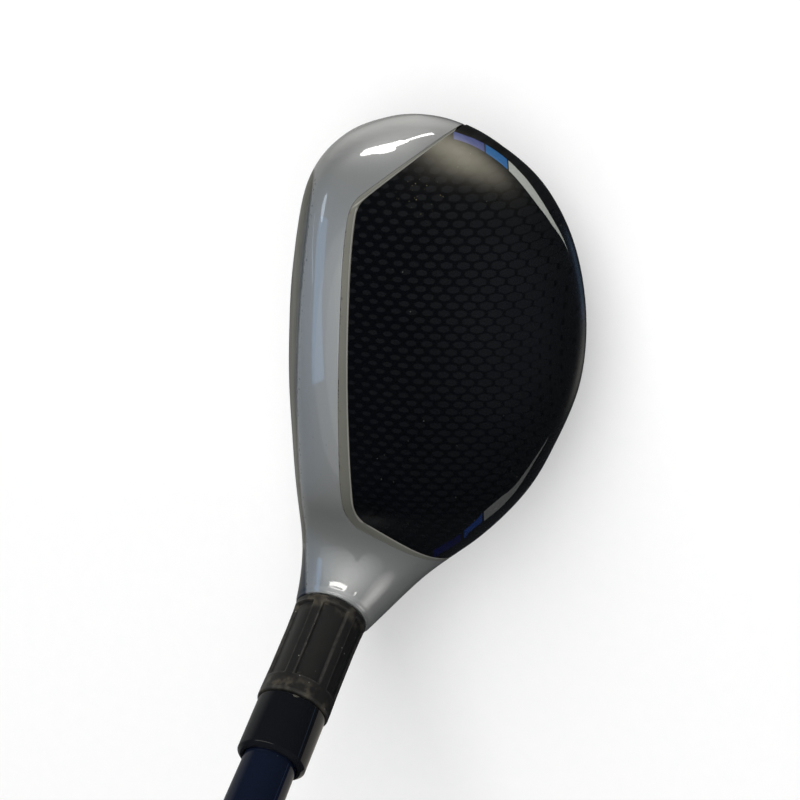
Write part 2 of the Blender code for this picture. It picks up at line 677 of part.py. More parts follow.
def make_grip(hosel, grip_mat, tape_mat, cap_mat):
    top = CLUB_LENGTH
    mouth = top - GRIP_LENGTH
    cap_floor = top - 6 * MM
    cap_radius = GRIP_BUTT_RADIUS - 3.2 * MM
    clearance = TAPE_THICKNESS + 2 * GAP
    outer = ((GRIP_BUTT_RADIUS - 1.6 * MM, top), (GRIP_BUTT_RADIUS, top - 2.2 * MM),
             (GRIP_BUTT_RADIUS, top - 9 * MM), (GRIP_BUTT_RADIUS - 1.2 * MM, top - 30 * MM),
             (GRIP_BUTT_RADIUS - 2.1 * MM, top - 110 * MM),
             (GRIP_MOUTH_RADIUS + 0.4 * MM, mouth + 50 * MM),
             (GRIP_MOUTH_RADIUS, mouth + 2 * MM), (GRIP_MOUTH_RADIUS - 0.8 * MM, mouth))
    inner = ((shaft_radius(mouth) + clearance, mouth),
             (SHAFT_BUTT_RADIUS + clearance, SHAFT_TAPER_END),
             (SHAFT_BUTT_RADIUS + clearance, cap_floor), (cap_radius + GAP, cap_floor),
             (cap_radius + GAP, top))
    grip = turned("grip", outer + inner, 28, grip_mat, hosel)

    tape_low = mouth + 2 * MM
    tape_high = top - 8 * MM
    tape_heights = (tape_high, SHAFT_TAPER_END, tape_low)
    tape_outer = [(shaft_radius(h) + GAP + TAPE_THICKNESS, h) for h in tape_heights]
    tape_inner = [(shaft_radius(h) + GAP, h) for h in reversed(tape_heights)]
    tape = turned("grip_tape", tape_outer + tape_inner, 24, tape_mat, hosel)

    cap_profile = ((1.0 * MM, top - 0.4 * MM), (cap_radius - 0.6 * MM, top - 0.4 * MM),
                   (cap_radius, top - 1.0 * MM), (cap_radius, cap_floor + GAP),
                   (1.0 * MM, cap_floor + GAP))
    cap = turned("grip_cap", cap_profile, 28, cap_mat, hosel)
    return grip, tape, cap


def main():
    clear_scene()
    hosel = hosel_frame()
    port = weight_frame()
    silver = material("silver_paint", (0.62, 0.62, 0.64), 0.28, 0.4)
    make_body(hosel, port, silver)
    make_crown_panel(hosel, material("crown_black", (0.012, 0.012, 0.014), 0.2, 0.0))
    make_face_plate(hosel, material("brushed_face", (0.42, 0.39, 0.34), 0.42, 1.0))
    make_slot_insert(hosel, material("slot_polymer", (0.03, 0.03, 0.035), 0.6, 0.0))
    make_weight(port, material("weight_steel", (0.35, 0.35, 0.37), 0.35, 1.0),
                material("weight_washer_nylon", (0.6, 0.58, 0.52), 0.6, 0.0))
    make_sleeve_screw(hosel, material("screw_steel", (0.25, 0.25, 0.27), 0.35, 1.0),
                      material("screw_washer_steel", (0.5, 0.5, 0.5), 0.35, 1.0),
                      material("retainer_rubber", (0.02, 0.02, 0.02), 0.8, 0.0))
    make_loft_sleeve(hosel, material("sleeve_anodised", (0.02, 0.02, 0.022), 0.38, 0.6))
    make_ferrule(hosel, material("ferrule_gloss", (0.008, 0.008, 0.009), 0.12, 0.0))
    make_shaft(hosel, material("shaft_navy", (0.012, 0.014, 0.035), 0.15, 0.0),
               material("plug_foam", (0.7, 0.6, 0.4), 0.9, 0.0))
    make_grip(hosel, material("grip_rubber", (0.025, 0.025, 0.027), 0.75, 0.0),
              material("tape_paper", (0.75, 0.68, 0.5), 0.8, 0.0),
              material("cap_rubber", (0.02, 0.02, 0.02), 0.7, 0.0))


main()
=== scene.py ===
"""Looks for the adjustable hybrid golf club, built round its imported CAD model."""

import json
import math
from functools import reduce

import bmesh
import bpy
from mathutils import Matrix, Vector
from mathutils.bvhtree import BVHTree
from mathutils.interpolate import poly_3d_calc


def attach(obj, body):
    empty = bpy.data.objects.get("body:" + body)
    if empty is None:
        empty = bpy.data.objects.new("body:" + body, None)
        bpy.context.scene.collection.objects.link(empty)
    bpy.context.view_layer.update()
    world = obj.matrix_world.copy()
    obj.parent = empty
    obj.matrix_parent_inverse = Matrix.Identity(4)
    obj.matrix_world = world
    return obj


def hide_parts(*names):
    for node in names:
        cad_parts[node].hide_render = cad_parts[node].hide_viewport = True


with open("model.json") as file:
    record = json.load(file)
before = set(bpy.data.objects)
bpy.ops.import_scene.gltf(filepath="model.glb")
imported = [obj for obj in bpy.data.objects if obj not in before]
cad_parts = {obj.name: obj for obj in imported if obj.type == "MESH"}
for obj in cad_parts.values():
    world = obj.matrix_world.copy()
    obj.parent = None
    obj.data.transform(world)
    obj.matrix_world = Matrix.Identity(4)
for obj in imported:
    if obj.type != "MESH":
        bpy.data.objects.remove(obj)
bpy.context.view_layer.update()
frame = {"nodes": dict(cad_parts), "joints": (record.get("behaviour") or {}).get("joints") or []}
JOINTS = {joint["name"]: joint for joint in frame["joints"]}

MM = 0.001

# Camera, floor and lights
CAMERA_AT = Vector((-139.9, 157.7, 403.0)) * MM
CAMERA_AIM = Vector((0.6, 7.5, 20.0)) * MM
CAMERA_UP = Vector((-0.946, -0.126, -0.297))
CAMERA_LENS = 106.0
FLOOR_SIZE = 8.0
FLOOR_GAP = 0.2 * MM
WHITE = (1.0, 1.0, 1.0)
WARM = (1.0, 0.98, 0.94)
BLUE = (0.34, 0.6, 1.0)
PALE_BLUE = (0.75, 0.87, 1.0)
CARD_DISTANCE = 0.6
GLOW_STEPS = (1.0, 0.82, 0.64, 0.46, 0.28)
WORLD_BASE = (0.03, 0.032, 0.036)
# direction, half angle full, half angle gone, radiance
WORLD_GLOWS = (
    ((0.1, -0.85, -0.5), 22.0, 52.0, (0.36, 0.36, 0.34)),
    ((0.1, 0.75, 0.65), 12.0, 50.0, (0.06, 0.07, 0.08)),
)

# Head form. Heights are measured in each station's plane, which turns about the fan pivot.
LOFT = math.radians(23.5)
FAN_PIVOT_Z = 36.1
HOSEL_RADIUS = 7.3
MOUTH_ROUND = 0.35 * MM
REAR_POWER = 2.15
ROLL_START_Y = 3.5
ROLL_REACH = 9.0
ROLL_DROP = 0.8
ROWS_PER_STATION = 10
POINTS_PER_QUARTER = 36
# plane x, fan angle, crest y, front y, rear y, top, bottom, front middle, rear rim, front power
STATIONS = (
    (-52.3, 0.0, 9.5, 9.5, 9.5, 17.0, 17.0, 17.0, 17.0, 2.2),
    (-51.2, 0.0, 9.0, 3.0, 16.0, 21.6, 11.6, 16.8, 16.6, 2.4),
    (-47.6, 0.0, 6.8, -4.9, 23.8, 27.0, 7.0, 17.0, 15.4, 3.0),
    (-41.0, 0.0, 3.0, -10.5, 31.8, 31.6, 3.0, 17.2, 14.2, 4.2),
    (-31.0, 0.0, 0.0, -13.7, 37.5, 34.6, 0.9, 17.4, 13.4, 5.4),
    (-18.0, 0.0, -2.0, -15.5, 40.3, 36.0, -0.1, 17.4, 13.0, 6.0),
    (-4.0, 0.0, -3.0, -16.1, 39.5, 35.8, -0.3, 17.2, 12.8, 6.0),
    (10.0, 0.0, -3.5, -15.7, 34.3, 34.0, -0.1, 16.6, 12.6, 6.0),
    (18.5, 1.5, -4.0, -15.0, 29.2, 31.2, 0.7, 15.6, 12.4, 5.4),
    (21.6, 16.0, -4.4, -14.2, 21.1, 26.8, 1.3, 13.6, 11.8, 4.2),
    (22.0, 36.0, -5.2, -13.3, 10.2, 21.3, 1.3, 11.0, 10.4, 2.8),
    (22.0, 58.0, -5.7, -5.7 - HOSEL_RADIUS, -5.7 + HOSEL_RADIUS, 8.5 + HOSEL_RADIUS,
     8.5 - HOSEL_RADIUS, 8.5, 8.5, 2.0),
)

# Edge of the black panel in plan, toe end first, with the width of the lip outside it
PANEL_EDGE = ((-54.5, 21.5, 0.25), (-47.2, 13.2, 0.5), (-40.6, 5.7, 0.8), (-38.4, 4.1, 1.1),
              (-34.0, 3.7, 1.35), (-17.0, 3.6, 1.5), (4.0, 3.3, 1.9), (14.0, 3.0, 2.1),
              (20.2, 2.6, 2.0), (23.0, 3.3, 2.2), (26.2, 6.7, 1.9), (29.4, 10.2, 1.1),
              (36.0, 17.2, 0.25))
PANEL_BACK = ((36.0, 60.0), (-70.0, 60.0), (-70.0, 21.5))
TOE_END = (PANEL_EDGE[0][:2], PANEL_EDGE[2][:2])
HEEL_END = (PANEL_EDGE[-4][:2], PANEL_EDGE[-1][:2])
PANEL_LOW = 12.0 * MM
PANEL_THICKNESS = 1.0 * MM
PANEL_SINK = 0.45 * MM
PANEL_FADE = 8.0 * MM
SKY = 60.0 * MM
GAP = 0.3 * MM
HAIRLINE = 0.04 * MM

# Face, along the leading edge and up the face from the ground line
FACE_OUTLINE = ((-43.0, 17.0), (-40.5, 24.0), (-35.0, 29.3), (-26.0, 32.0), (-12.0, 33.4),
                (4.0, 32.4), (16.0, 29.4), (26.0, 24.6), (32.5, 18.0), (33.0, 11.5),
                (28.0, 6.8), (16.0, 4.6), (0.0, 4.0), (-16.0, 4.2), (-28.0, 5.4),
                (-37.5, 9.0))
LEADING_EDGE_Y = -21.4
FACE_THICKNESS = 2.4 * MM
# The face falls back by this times the square of x.
FACE_BULGE = 1 / 560
SCORE_LINES = 8
SCORE_FIRST = 8.4
SCORE_PITCH = 2.9
SCORE_WIDTH = 0.75
SCORE_DEPTH = 0.35 * MM
SCORE_REACH = 20.0
SCORE_CENTRE_X = -3.0

# Sole furniture
SLOT_CENTRE = Vector((-4.0, -9.0)) * MM
SLOT_LENGTH = 48.0
SLOT_WIDTH = 3.6
WEIGHT_RADIUS = 6.1 * MM
WEIGHT_STEM_RADIUS = 3.0 * MM
WEIGHT_SEAT_DEPTH = 3.2 * MM
WEIGHT_DEPTH = 9.0 * MM

# Hosel bore, sleeve and screw, along the hosel axis from the ground
BORE_RADIUS = 6.1 * MM
BORE_BOTTOM = 12.6 * MM
SEAT_HOLE_RADIUS = 2.9 * MM
SEAT_BOTTOM = 9.8 * MM
HEAD_RECESS_RADIUS = 4.7 * MM
SLEEVE_RADIUS = 7.0 * MM
SLEEVE_BOTTOM = 13.9 * MM
TEETH = 12
TOOTH_ZONE = (21.4 * MM, 25.0 * MM)
TOOTH_RADIUS = 6.5 * MM
TOOTH_WIDTH = math.radians(10.0)
GROOVE_WIDTH = math.radians(17.0)
FLUTES = 6
FLUTE_FIRST = math.radians(153.0)
FLUTE_WIDTH = math.radians(42.0)
FLUTE_DEPTH = 0.6 * MM
FLUTE_ZONE = (27.0 * MM, 43.4 * MM)
SHAFT_SOCKET_BOTTOM = 27.0 * MM
SCREW_RADIUS = 2.5 * MM
SCREW_HEAD_RADIUS = 4.2 * MM
SCREW_HEAD_TOP = 9.0 * MM
SCREW_PLAIN_NECK = 4.0 * MM
THREAD_PITCH = 0.8 * MM
THREAD_DEPTH = 0.25 * MM
# height, step out from the sleeve's radius
SLEEVE_WAIST = ((45.0, 0.0), (41.0, -0.1), (32.0, -0.1), (28.0, 0.0), (26.4, 0.1), (25.6, 0.1))
SLEEVE_SHOULDER = 25.4 * MM
RELIEF_EDGE = 0.1 * MM

# Shaft and grip
SHAFT_STATIONS = ((0.0, 4.9), (47.3, 4.9), (59.3, 5.2), (800.0, 7.6), (1022.0, 7.6))
SHAFT_WALL = 1.5 * MM
TREAD_TURNS = 12
TREAD_PITCH = 9.0 * MM
TREAD_DEPTH = 0.35 * MM
FERRULE_RADIUS = 6.65 * MM
TAPE_SPACE = 1.1 * MM
GRIP_CAP_RADIUS = 10.0 * MM
GRIP_CAP_DEPTH = 6.0 * MM
# radius, distance from that end
GRIP_FROM_BUTT = ((11.6, 0.0), (13.2, 2.2), (13.2, 9.0), (12.0, 30.0), (11.1, 110.0))
GRIP_FROM_MOUTH = ((10.3, 50.0), (9.9, 2.0), (9.1, 0.0))

# Crown print
HEXAGON_PITCH_X = 2.82
HEXAGON_PITCH_Y = 2.75
HEXAGON_WIDTH = 1.07
OVAL_WIDENING = 1.55
STRIPE_SPLIT_X = -7.5
# side of the split, lean and its level, lower edge and upper edge as (y, z), and for each
# block its start, its end and its two tones
# The toe set (side -1) is painted lighter and the heel set darker: painted light and painted shade on
# one print.
STRIPES = (
    (-1, 0.42, 17.7,
     ((16.0, 19.4), (17.9, 19.0), (22.1, 17.7), (26.2, 17.0), (29.0, 17.1), (32.8, 17.2),
      (37.7, 15.9), (39.5, 15.6)),
     ((16.0, 21.8), (17.4, 21.2), (22.9, 19.8), (27.1, 19.3), (31.0, 19.2), (34.5, 18.1),
      (37.7, 15.9), (39.5, 15.2)),
     ((16.2, 22.1, (42, 50, 90), (68, 74, 114)),
      (22.35, 26.5, (22, 66, 112), (38, 88, 134)),
      (26.75, 60.0, (132, 135, 130), (150, 152, 146)))),
    (1, 0.33, 15.8,
     ((12.0, 16.4), (13.6, 16.5), (19.1, 17.25), (23.2, 19.0), (30.0, 18.9), (36.0, 18.0),
      (37.0, 17.9)),
     ((12.0, 18.0), (13.1, 18.4), (19.4, 19.7), (24.3, 21.5), (24.8, 21.8), (30.5, 20.1),
      (36.0, 18.0), (37.0, 17.5)),
     ((13.1, 18.5, (2, 4, 32), (4, 7, 46)),
      (19.1, 22.65, (6, 24, 60), (12, 34, 80)),
      (23.0, 60.0, (68, 69, 68), (80, 80, 79)))),
)


# ---------------------------------------------------------------- frames and measures

def facing_frame(place, out, up):
    """A frame at a place, z along out and y as near to up as it can be."""
    out = out.normalized()
    side = up.cross(out).normalized()
    turn = Matrix((side, out.cross(side), out)).transposed().to_4x4()
    return Matrix.Translation(place) @ turn


def joint_frame(joint):
    """A frame on a joint's axis: z along the axis, y close to the world's y."""
    return facing_frame(Vector(joint["pos_m"]), Vector(joint["axis"]), Vector((0.0, 1.0, 0.0)))


HOSEL = joint_frame(JOINTS["loft_index"])
PORT = joint_frame(JOINTS["weight_turn"])


def reach(node, place):
    """The lowest and highest point of a CAD node along a frame's z, in metres."""
    to_local = place.inverted()
    heights = [(to_local @ v.co).z for v in frame["nodes"][node].data.vertices]
    return min(heights), max(heights)


def face_frame():
    """Local x along the leading edge, y up the face, z out of the face."""
    return facing_frame(Vector((0.0, LEADING_EDGE_Y, 0.0)) * MM,
                        Vector((0.0, -math.cos(LOFT), math.sin(LOFT))),
                        Vector((0.0, math.sin(LOFT), math.cos(LOFT))))


# ---------------------------------------------------------------- curves

def smoothstep(value, low, high):
    t = min(max((value - low) / (high - low), 0.0), 1.0)
    return t * t * (3.0 - 2.0 * t)


def catmull_rom(rows, u):
    """The row at position u, 0 at the first row, on a smooth curve through all the rows."""
    last = len(rows) - 1
    i = min(int(u), last - 1)
    t = u - i
    before = rows[max(i - 1, 0)]
    after = rows[min(i + 2, last)]
    blended = []
    for a, b, c, d in zip(before, rows[i], rows[i + 1], after):
        slope_b = (c - a) / 2
        slope_c = (d - b) / 2
        blended.append((2 * t**3 - 3 * t**2 + 1) * b + (t**3 - 2 * t**2 + t) * slope_b
                       + (3 * t**2 - 2 * t**3) * c + (t**3 - t**2) * slope_c)
    return blended


def open_curve(rows, per_span):
    """Rows on a smooth open curve through the given rows."""
    spans = len(rows) - 1
    return [catmull_rom(rows, k / per_span) for k in range(spans * per_span)] + [rows[-1]]


def divided(rows, step):
    """The rows with straight runs between them divided to at most a step in plan."""
    result = [list(rows[0])]
    for a, b in zip(rows, rows[1:]):
        count = max(1, math.ceil(math.dist(a[:2], b[:2]) / step))
        for k in range(1, count + 1):
            result.append([p + (q - p) * k / count for p, q in zip(a, b)])
    return result


def closed_curve(points, per_span):
    lap = points[-1:] + points + points[:2]
    count = len(points) * per_span
    return [catmull_rom(lap, 1 + k / per_span) for k in range(count)]


def spread(points, widths):
    """An open outline moved to its right by a width at each point."""
    moved = []
    last = len(points) - 1
    for k, width in enumerate(widths):
        along = Vector(points[min(k + 1, last)]) - Vector(points[max(k - 1, 0)])
        along.normalize()
        moved.append((points[k][0] + along.y * width, points[k][1] - along.x * width))
    return moved


def spread_loop(points, width):
    """A closed outline moved outwards by a width."""
    area = sum(a[0] * b[1] - b[0] * a[1] for a, b in zip(points, points[1:] + points[:1]))
    side = math.copysign(width, area)
    moved = []
    for k, here in enumerate(points):
        along = Vector(points[(k + 1) % len(points)][:2]) - Vector(points[k - 1][:2])
        along.normalize()
        moved.append((here[0] + along.y * side, here[1] - along.x * side))
    return moved


def quarter(start_angle, depth, height, power, count):
    """Points evenly spaced along a quarter of a superellipse, without its last point."""
    fine = 4 * count
    curve = []
    for k in range(fine + 1):
        a = start_angle + math.pi / 2 * k / fine
        c = math.cos(a)
        s = math.sin(a)
        curve.append((math.copysign(abs(c) ** (2 / power), c) * depth,
                      math.copysign(abs(s) ** (2 / power), s) * height))
    lengths = [0.0]
    for p, q in zip(curve, curve[1:]):
        lengths.append(lengths[-1] + math.dist(p, q))
    points = []
    j = 0
    for k in range(count):
        wanted = lengths[-1] * k / count
        while lengths[j + 1] < wanted:
            j += 1
        span = lengths[j + 1] - lengths[j]
        t = (wanted - lengths[j]) / span if span > 0 else 0.0
        points.append([a + (b - a) * t for a, b in zip(curve[j], curve[j + 1])])
    return points


# ---------------------------------------------------------------- mesh helpers

def mesh_object(name, bm, place=None):
    mesh = bpy.data.meshes.new(name)
    bmesh.ops.recalc_face_normals(bm, faces=bm.faces)
    bm.to_mesh(mesh)
    bm.free()
    obj = bpy.data.objects.new(name, mesh)
    bpy.context.scene.collection.objects.link(obj)
    if place is not None:
        obj.matrix_world = place
    return obj


def shade(obj, sharp_degrees=32.0):
    obj.data.shade_smooth()
    obj.data.set_sharp_from_angle(angle=math.radians(sharp_degrees))
    return obj


def combine(obj, operation, *tools):
    """Apply exact booleans with each tool in turn, and delete the tools."""
    for tool in tools:
        mod = obj.modifiers.new(tool.name, "BOOLEAN")
        mod.operation = operation
        mod.object = tool
        mod.solver = "EXACT"
    bpy.context.view_layer.update()
    graph = bpy.context.evaluated_depsgraph_get()
    mesh = bpy.data.meshes.new_from_object(obj.evaluated_get(graph))
    spent = obj.data
    obj.modifiers.clear()
    obj.data = mesh
    bpy.data.meshes.remove(spent)
    mesh.name = obj.name
    for tool in tools:
        bpy.data.objects.remove(tool)
    return obj


def bridge(bm, a, b):
    """Quads between two closed rings of vertices."""
    for k in range(len(a)):
        j = (k + 1) % len(a)
        bm.faces.new((a[k], b[k], b[j], a[j]))


def prism(name, outlines, low, high, place=Matrix.Identity(4)):
    """Closed outlines in millimetres, pushed from low to high along a frame's z."""
    bm = bmesh.new()
    for outline in outlines:
        base = [bm.verts.new(place @ Vector((p[0] * MM, p[1] * MM, low))) for p in outline]
        lid = [bm.verts.new(place @ Vector((p[0] * MM, p[1] * MM, high))) for p in outline]
        bm.faces.new(base)
        bm.faces.new(lid[::-1])
        bridge(bm, base, lid)
    return mesh_object(name, bm)


def rounded(profile, radius, steps=3):
    """A turned profile with each inner corner replaced by a small curve."""
    points = [Vector(p) for p in profile]
    result = [points[0]]
    for before, here, after in zip(points, points[1:], points[2:]):
        back = before - here
        on = after - here
        cut = min(radius, back.length * 0.45, on.length * 0.45)
        start = here + back.normalized() * cut
        end = here + on.normalized() * cut
        for k in range(steps + 1):
            t = k / steps
            result.append(start * (1 - t) ** 2 + here * 2 * t * (1 - t) + end * t ** 2)
    result.append(points[-1])
    return result


def refined(profile, step, least_radius=0.0):
    """The profile with its long runs divided, where they lie outside least_radius."""
    result = [Vector(profile[0])]
    for p, q in zip(profile, profile[1:]):
        a = Vector(p)
        b = Vector(q)
        count = 1
        if min(a.x, b.x) >= least_radius:
            count = max(1, math.ceil((b - a).length / step))
        result.extend(a.lerp(b, k / count) for k in range(1, count + 1))
    return result


def turned(name, profile, segments, place, relief=None):
    """A solid turned about a frame's z from (radius, height) points, outer side first, from
    the top down. A point at radius 0 closes an end; otherwise the profile closes on itself.
    relief(radius, height, angle) is added to the radius."""
    bm = bmesh.new()
    rings = []
    for radius, height in profile:
        if radius < 1e-7:
            rings.append([bm.verts.new((0.0, 0.0, height))])
            continue
        ring = []
        for k in range(segments):
            a = 2 * math.pi * k / segments
            r = radius + (relief(radius, height, a) if relief else 0.0)
            ring.append(bm.verts.new((r * math.cos(a), r * math.sin(a), height)))
        rings.append(ring)
    pairs = list(zip(rings, rings[1:]))
    if profile[0][0] > 1e-7:
        pairs.append((rings[-1], rings[0]))
    for a, b in pairs:
        for k in range(segments):
            j = (k + 1) % segments
            if len(a) == 1:
                bm.faces.new((a[0], b[k], b[j]))
            elif len(b) == 1:
                bm.faces.new((a[k], b[0], a[j]))
            else:
                bm.faces.new((a[k], b[k], b[j], a[j]))
    return shade(mesh_object(name, bm, place))


def drum(name, radius, low, high, segments, place):
    return turned(name, ((0.0, high), (radius, high), (radius, low), (0.0, low)), segments, place)


def toothed(name, corners, low, high, place):
    """A solid with a closed outline of (radius, angle) corners along a frame's z."""
    outline = [(r * math.cos(a) / MM, r * math.sin(a) / MM) for r, a in corners]
    obj = prism(name, [outline], low, high)
    obj.matrix_world = place
    return obj


def key_socket(name, radius, low, high, place):
    """A six-lobed key socket."""
    sides = 72
    angles = [2 * math.pi * k / sides for k in range(sides)]
    return toothed(name, [(radius * (0.86 + 0.14 * math.cos(6 * a)), a) for a in angles],
                   low, high, place)


# ---------------------------------------------------------------- head form

def section(u, count):
    """A closed ring of points round the head at station u, in metres."""
    x, fan, crest, front, rear, top, bottom, middle, rim, power = catmull_rom(STATIONS, u)
    if u < 1.0:
        x = STATIONS[0][0] + (STATIONS[1][0] - STATIONS[0][0]) * u * u
    quarters = (
        (0.0, rear - crest, top - rim, REAR_POWER, rim),
        (math.pi / 2, crest - front, top - middle, power, middle),
        (math.pi, crest - front, middle - bottom, min(power, 4.2), middle),
        (1.5 * math.pi, rear - crest, rim - bottom, REAR_POWER, rim),
    )
    squareness = (power - 2.0) / 4.0
    lean = math.tan(LOFT) * squareness
    tilt = math.radians(fan)
    ring = []
    for start, depth, height, sharpness, level in quarters:
        for dy, dz in quarter(start, depth, height, sharpness, count):
            y = crest + dy
            z = level + dz
            if dz > 0 and y < ROLL_START_Y:
                share = ((ROLL_START_Y - y) / ROLL_REACH) ** 2
                z -= ROLL_DROP * share * squareness * dz / height
            if dy < 0 and depth > 0:
                y += lean * (z - middle) * (-dy / depth) ** 1.5
            drop = z - FAN_PIVOT_Z
            ring.append(Vector((x - drop * math.sin(tilt), y,
                                FAN_PIVOT_Z + drop * math.cos(tilt))) * MM)
    return ring


def mouth_rings(last, axis):
    """Rings that round the hosel's edge over, ending in the last ring's plane."""
    centre = sum(last, Vector()) / len(last)
    rings = []
    for k in range(4):
        a = math.pi / 2 * k / 3
        inward = MOUTH_ROUND * (1 - math.cos(a))
        back = MOUTH_ROUND * (1 - math.sin(a))
        rings.append([p - (p - centre).normalized() * inward - axis * back for p in last])
    return rings


def head_form(name, inset=0.0, coarse=False):
    """The closed outer form of the head, moved inwards by inset."""
    per_station = 3 if coarse else ROWS_PER_STATION
    count = 9 if coarse else POINTS_PER_QUARTER
    rows = (len(STATIONS) - 1) * per_station
    rings = [section(row / per_station, count) for row in range(1, rows + 1)]
    rings[-1:] = mouth_rings(rings[-1], HOSEL.to_3x3() @ Vector((0.0, 0.0, 1.0)))
    bm = bmesh.new()
    toe = bm.verts.new(section(0.0, 1)[0])
    rings = [[bm.verts.new(p) for p in ring] for ring in rings]
    size = len(rings[0])
    for k in range(size):
        bm.faces.new((toe, rings[0][k], rings[0][(k + 1) % size]))
    for a, b in zip(rings, rings[1:]):
        bridge(bm, a, b)
    bm.faces.new(rings[-1])
    bmesh.ops.recalc_face_normals(bm, faces=bm.faces)
    bm.normal_update()
    if inset:
        moves = [(v, v.normal * inset) for v in bm.verts]
        for v, move in moves:
            v.co -= move
    return mesh_object(name, bm)


class Skin:
    """A smooth form that later pieces measure their shading and heights from."""

    def __init__(self, obj):
        mesh = obj.data
        self.points = [v.co.copy() for v in mesh.vertices]
        self.normals = [v.normal.copy() for v in mesh.vertices]
        self.faces = [tuple(p.vertices) for p in mesh.polygons]
        self.tree = BVHTree.FromPolygons(self.points, self.faces)

    def normal_at(self, point):
        """The smooth normal nearest to a point, and the distance to it."""
        spot, _, face, distance = self.tree.find_nearest(point)
        corners = self.faces[face]
        weights = poly_3d_calc([self.points[i] for i in corners], spot)
        normal = Vector()
        for weight, i in zip(weights, corners):
            normal += self.normals[i] * weight
        return normal.normalized(), distance

    def above(self, x, y):
        """The point of the form straight below the sky at x and y, and its normal."""
        spot, _, _, _ = self.tree.ray_cast(Vector((x, y, SKY)), Vector((0.0, 0.0, -1.0)))
        if spot is None:
            return None, None
        return spot, self.normal_at(spot)[0]

    def shade(self, obj):
        """Give the faces of obj that lie on the form the form's own smooth shading."""
        mesh = shade(obj).data
        normals = [Vector()] * len(mesh.loops)
        found = {}
        for face in mesh.polygons:
            form_normal, distance = self.normal_at(face.center)
            if distance > HAIRLINE or form_normal.dot(face.normal) < 0.9:
                continue
            for loop in face.loop_indices:
                vertex = mesh.loops[loop].vertex_index
                if vertex not in found:
                    found[vertex] = self.normal_at(mesh.vertices[vertex].co)[0]
                normals[loop] = found[vertex]
        mesh.normals_split_custom_set(normals)
        return obj


def cap_tool(name, outlines, depth, low, high, place=Matrix.Identity(4)):
    """A tool that cuts every outline into the head down to one depth under its surface."""
    block = prism(name, outlines, low, high, place)
    return combine(block, "DIFFERENCE", head_form(f"{name}_core", depth, coarse=depth > GAP * 2))


def capsule(length, width, count=10):
    """A closed slot outline with round ends, centred, in millimetres."""
    radius = width / 2
    points = []
    for side, start in ((1, -math.pi / 2), (-1, math.pi / 2)):
        for k in range(count + 1):
            a = start + math.pi * k / count
            points.append((side * (length / 2 - radius) + radius * math.cos(a),
                           radius * math.sin(a)))
    return points


def panel_curve():
    """Rows of x, y and lip width along the panel's edge, in millimetres."""
    middle = open_curve(PANEL_EDGE[2:-3], 6)
    return [list(PANEL_EDGE[0]), list(PANEL_EDGE[1])] + middle + [list(r) for r in PANEL_EDGE[-2:]]


def panel_outline(rows, factor, extra=0.0):
    """The panel's closed outline, moved out by a share of the lip's width and by extra."""
    points = [row[:2] for row in rows]
    edge = spread(points, [row[2] * factor + extra for row in rows])
    return edge + list(PANEL_BACK)


def edge_distance(x, y, rows):
    """The distance in plan from a point to the panel's edge, in millimetres."""
    best = 1e9
    for (ax, ay, _), (bx, by, _) in zip(rows, rows[1:]):
        dx = bx - ax
        dy = by - ay
        t = min(max(((x - ax) * dx + (y - ay) * dy) / (dx * dx + dy * dy), 0.0), 1.0)
        best = min(best, math.hypot(x - ax - dx * t, y - ay - dy * t))
    return best


# ---------------------------------------------------------------- head pieces

def make_body(skin, rows):
    body = head_form("body_fine")
    ground = prism("ground", [((-99, -99), (99, -99), (99, 99), (-99, 99))], -20 * MM, 0.0)
    recess = cap_tool("recess", [panel_outline(rows, 1.0)], PANEL_THICKNESS + GAP,
                      PANEL_LOW - GAP, SKY)
    window = prism("window", [spread_loop(closed_curve(FACE_OUTLINE, 4), 2 * HAIRLINE / MM)],
                   -6 * MM, 20 * MM, face_frame())
    slot_place = Matrix.Translation((SLOT_CENTRE.x, SLOT_CENTRE.y, 0.0))
    slot = prism("slot", [capsule(SLOT_LENGTH, SLOT_WIDTH)], -10 * MM, 8 * MM, slot_place)
    port = drum("port", WEIGHT_RADIUS + GAP, -6 * MM, WEIGHT_SEAT_DEPTH + 3 * GAP, 64, PORT)
    thread = drum("thread", WEIGHT_STEM_RADIUS + GAP, 0.0, WEIGHT_DEPTH + GAP, 32, PORT)
    bore = drum("bore", BORE_RADIUS, BORE_BOTTOM, 50 * MM, 96, HOSEL)
    corners = []
    for tooth in range(TEETH):
        centre = 2 * math.pi * tooth / TEETH
        for side, radius in ((-1, 0.9), (-1, 1.0), (1, 1.0), (1, 0.9)):
            corners.append((radius * (TOOTH_RADIUS + GAP), centre + side * GROOVE_WIDTH / 2))
    grooves = toothed("grooves", corners, TOOTH_ZONE[0] - GAP, 50 * MM, HOSEL)
    hole = drum("hole", SEAT_HOLE_RADIUS, 0.0, 20 * MM, 48, HOSEL)
    counterbore = drum("counterbore", HEAD_RECESS_RADIUS, -10 * MM, SEAT_BOTTOM, 64, HOSEL)
    combine(body, "DIFFERENCE", ground, recess, window, slot, port, thread, bore, grooves, hole,
            counterbore)
    return skin.shade(body)


def make_crown(rows):
    """The black panel, a little lower than the paint along its front edge."""
    crown = head_form("crown_fine")
    for v in crown.data.vertices:
        if v.co.z > PANEL_LOW:
            away = edge_distance(v.co.x / MM, v.co.y / MM, rows) * MM
            v.co.z -= PANEL_SINK * (1.0 - smoothstep(away, 0.0, PANEL_FADE))
    crown.data.update()
    skin = Skin(crown)
    blank = prism("blank", [panel_outline(rows, 0.0, -HAIRLINE / MM)], PANEL_LOW, SKY)
    combine(crown, "INTERSECT", blank)
    combine(crown, "DIFFERENCE", head_form("crown_core", PANEL_THICKNESS + GAP / 2, coarse=True))
    return skin.shade(crown)


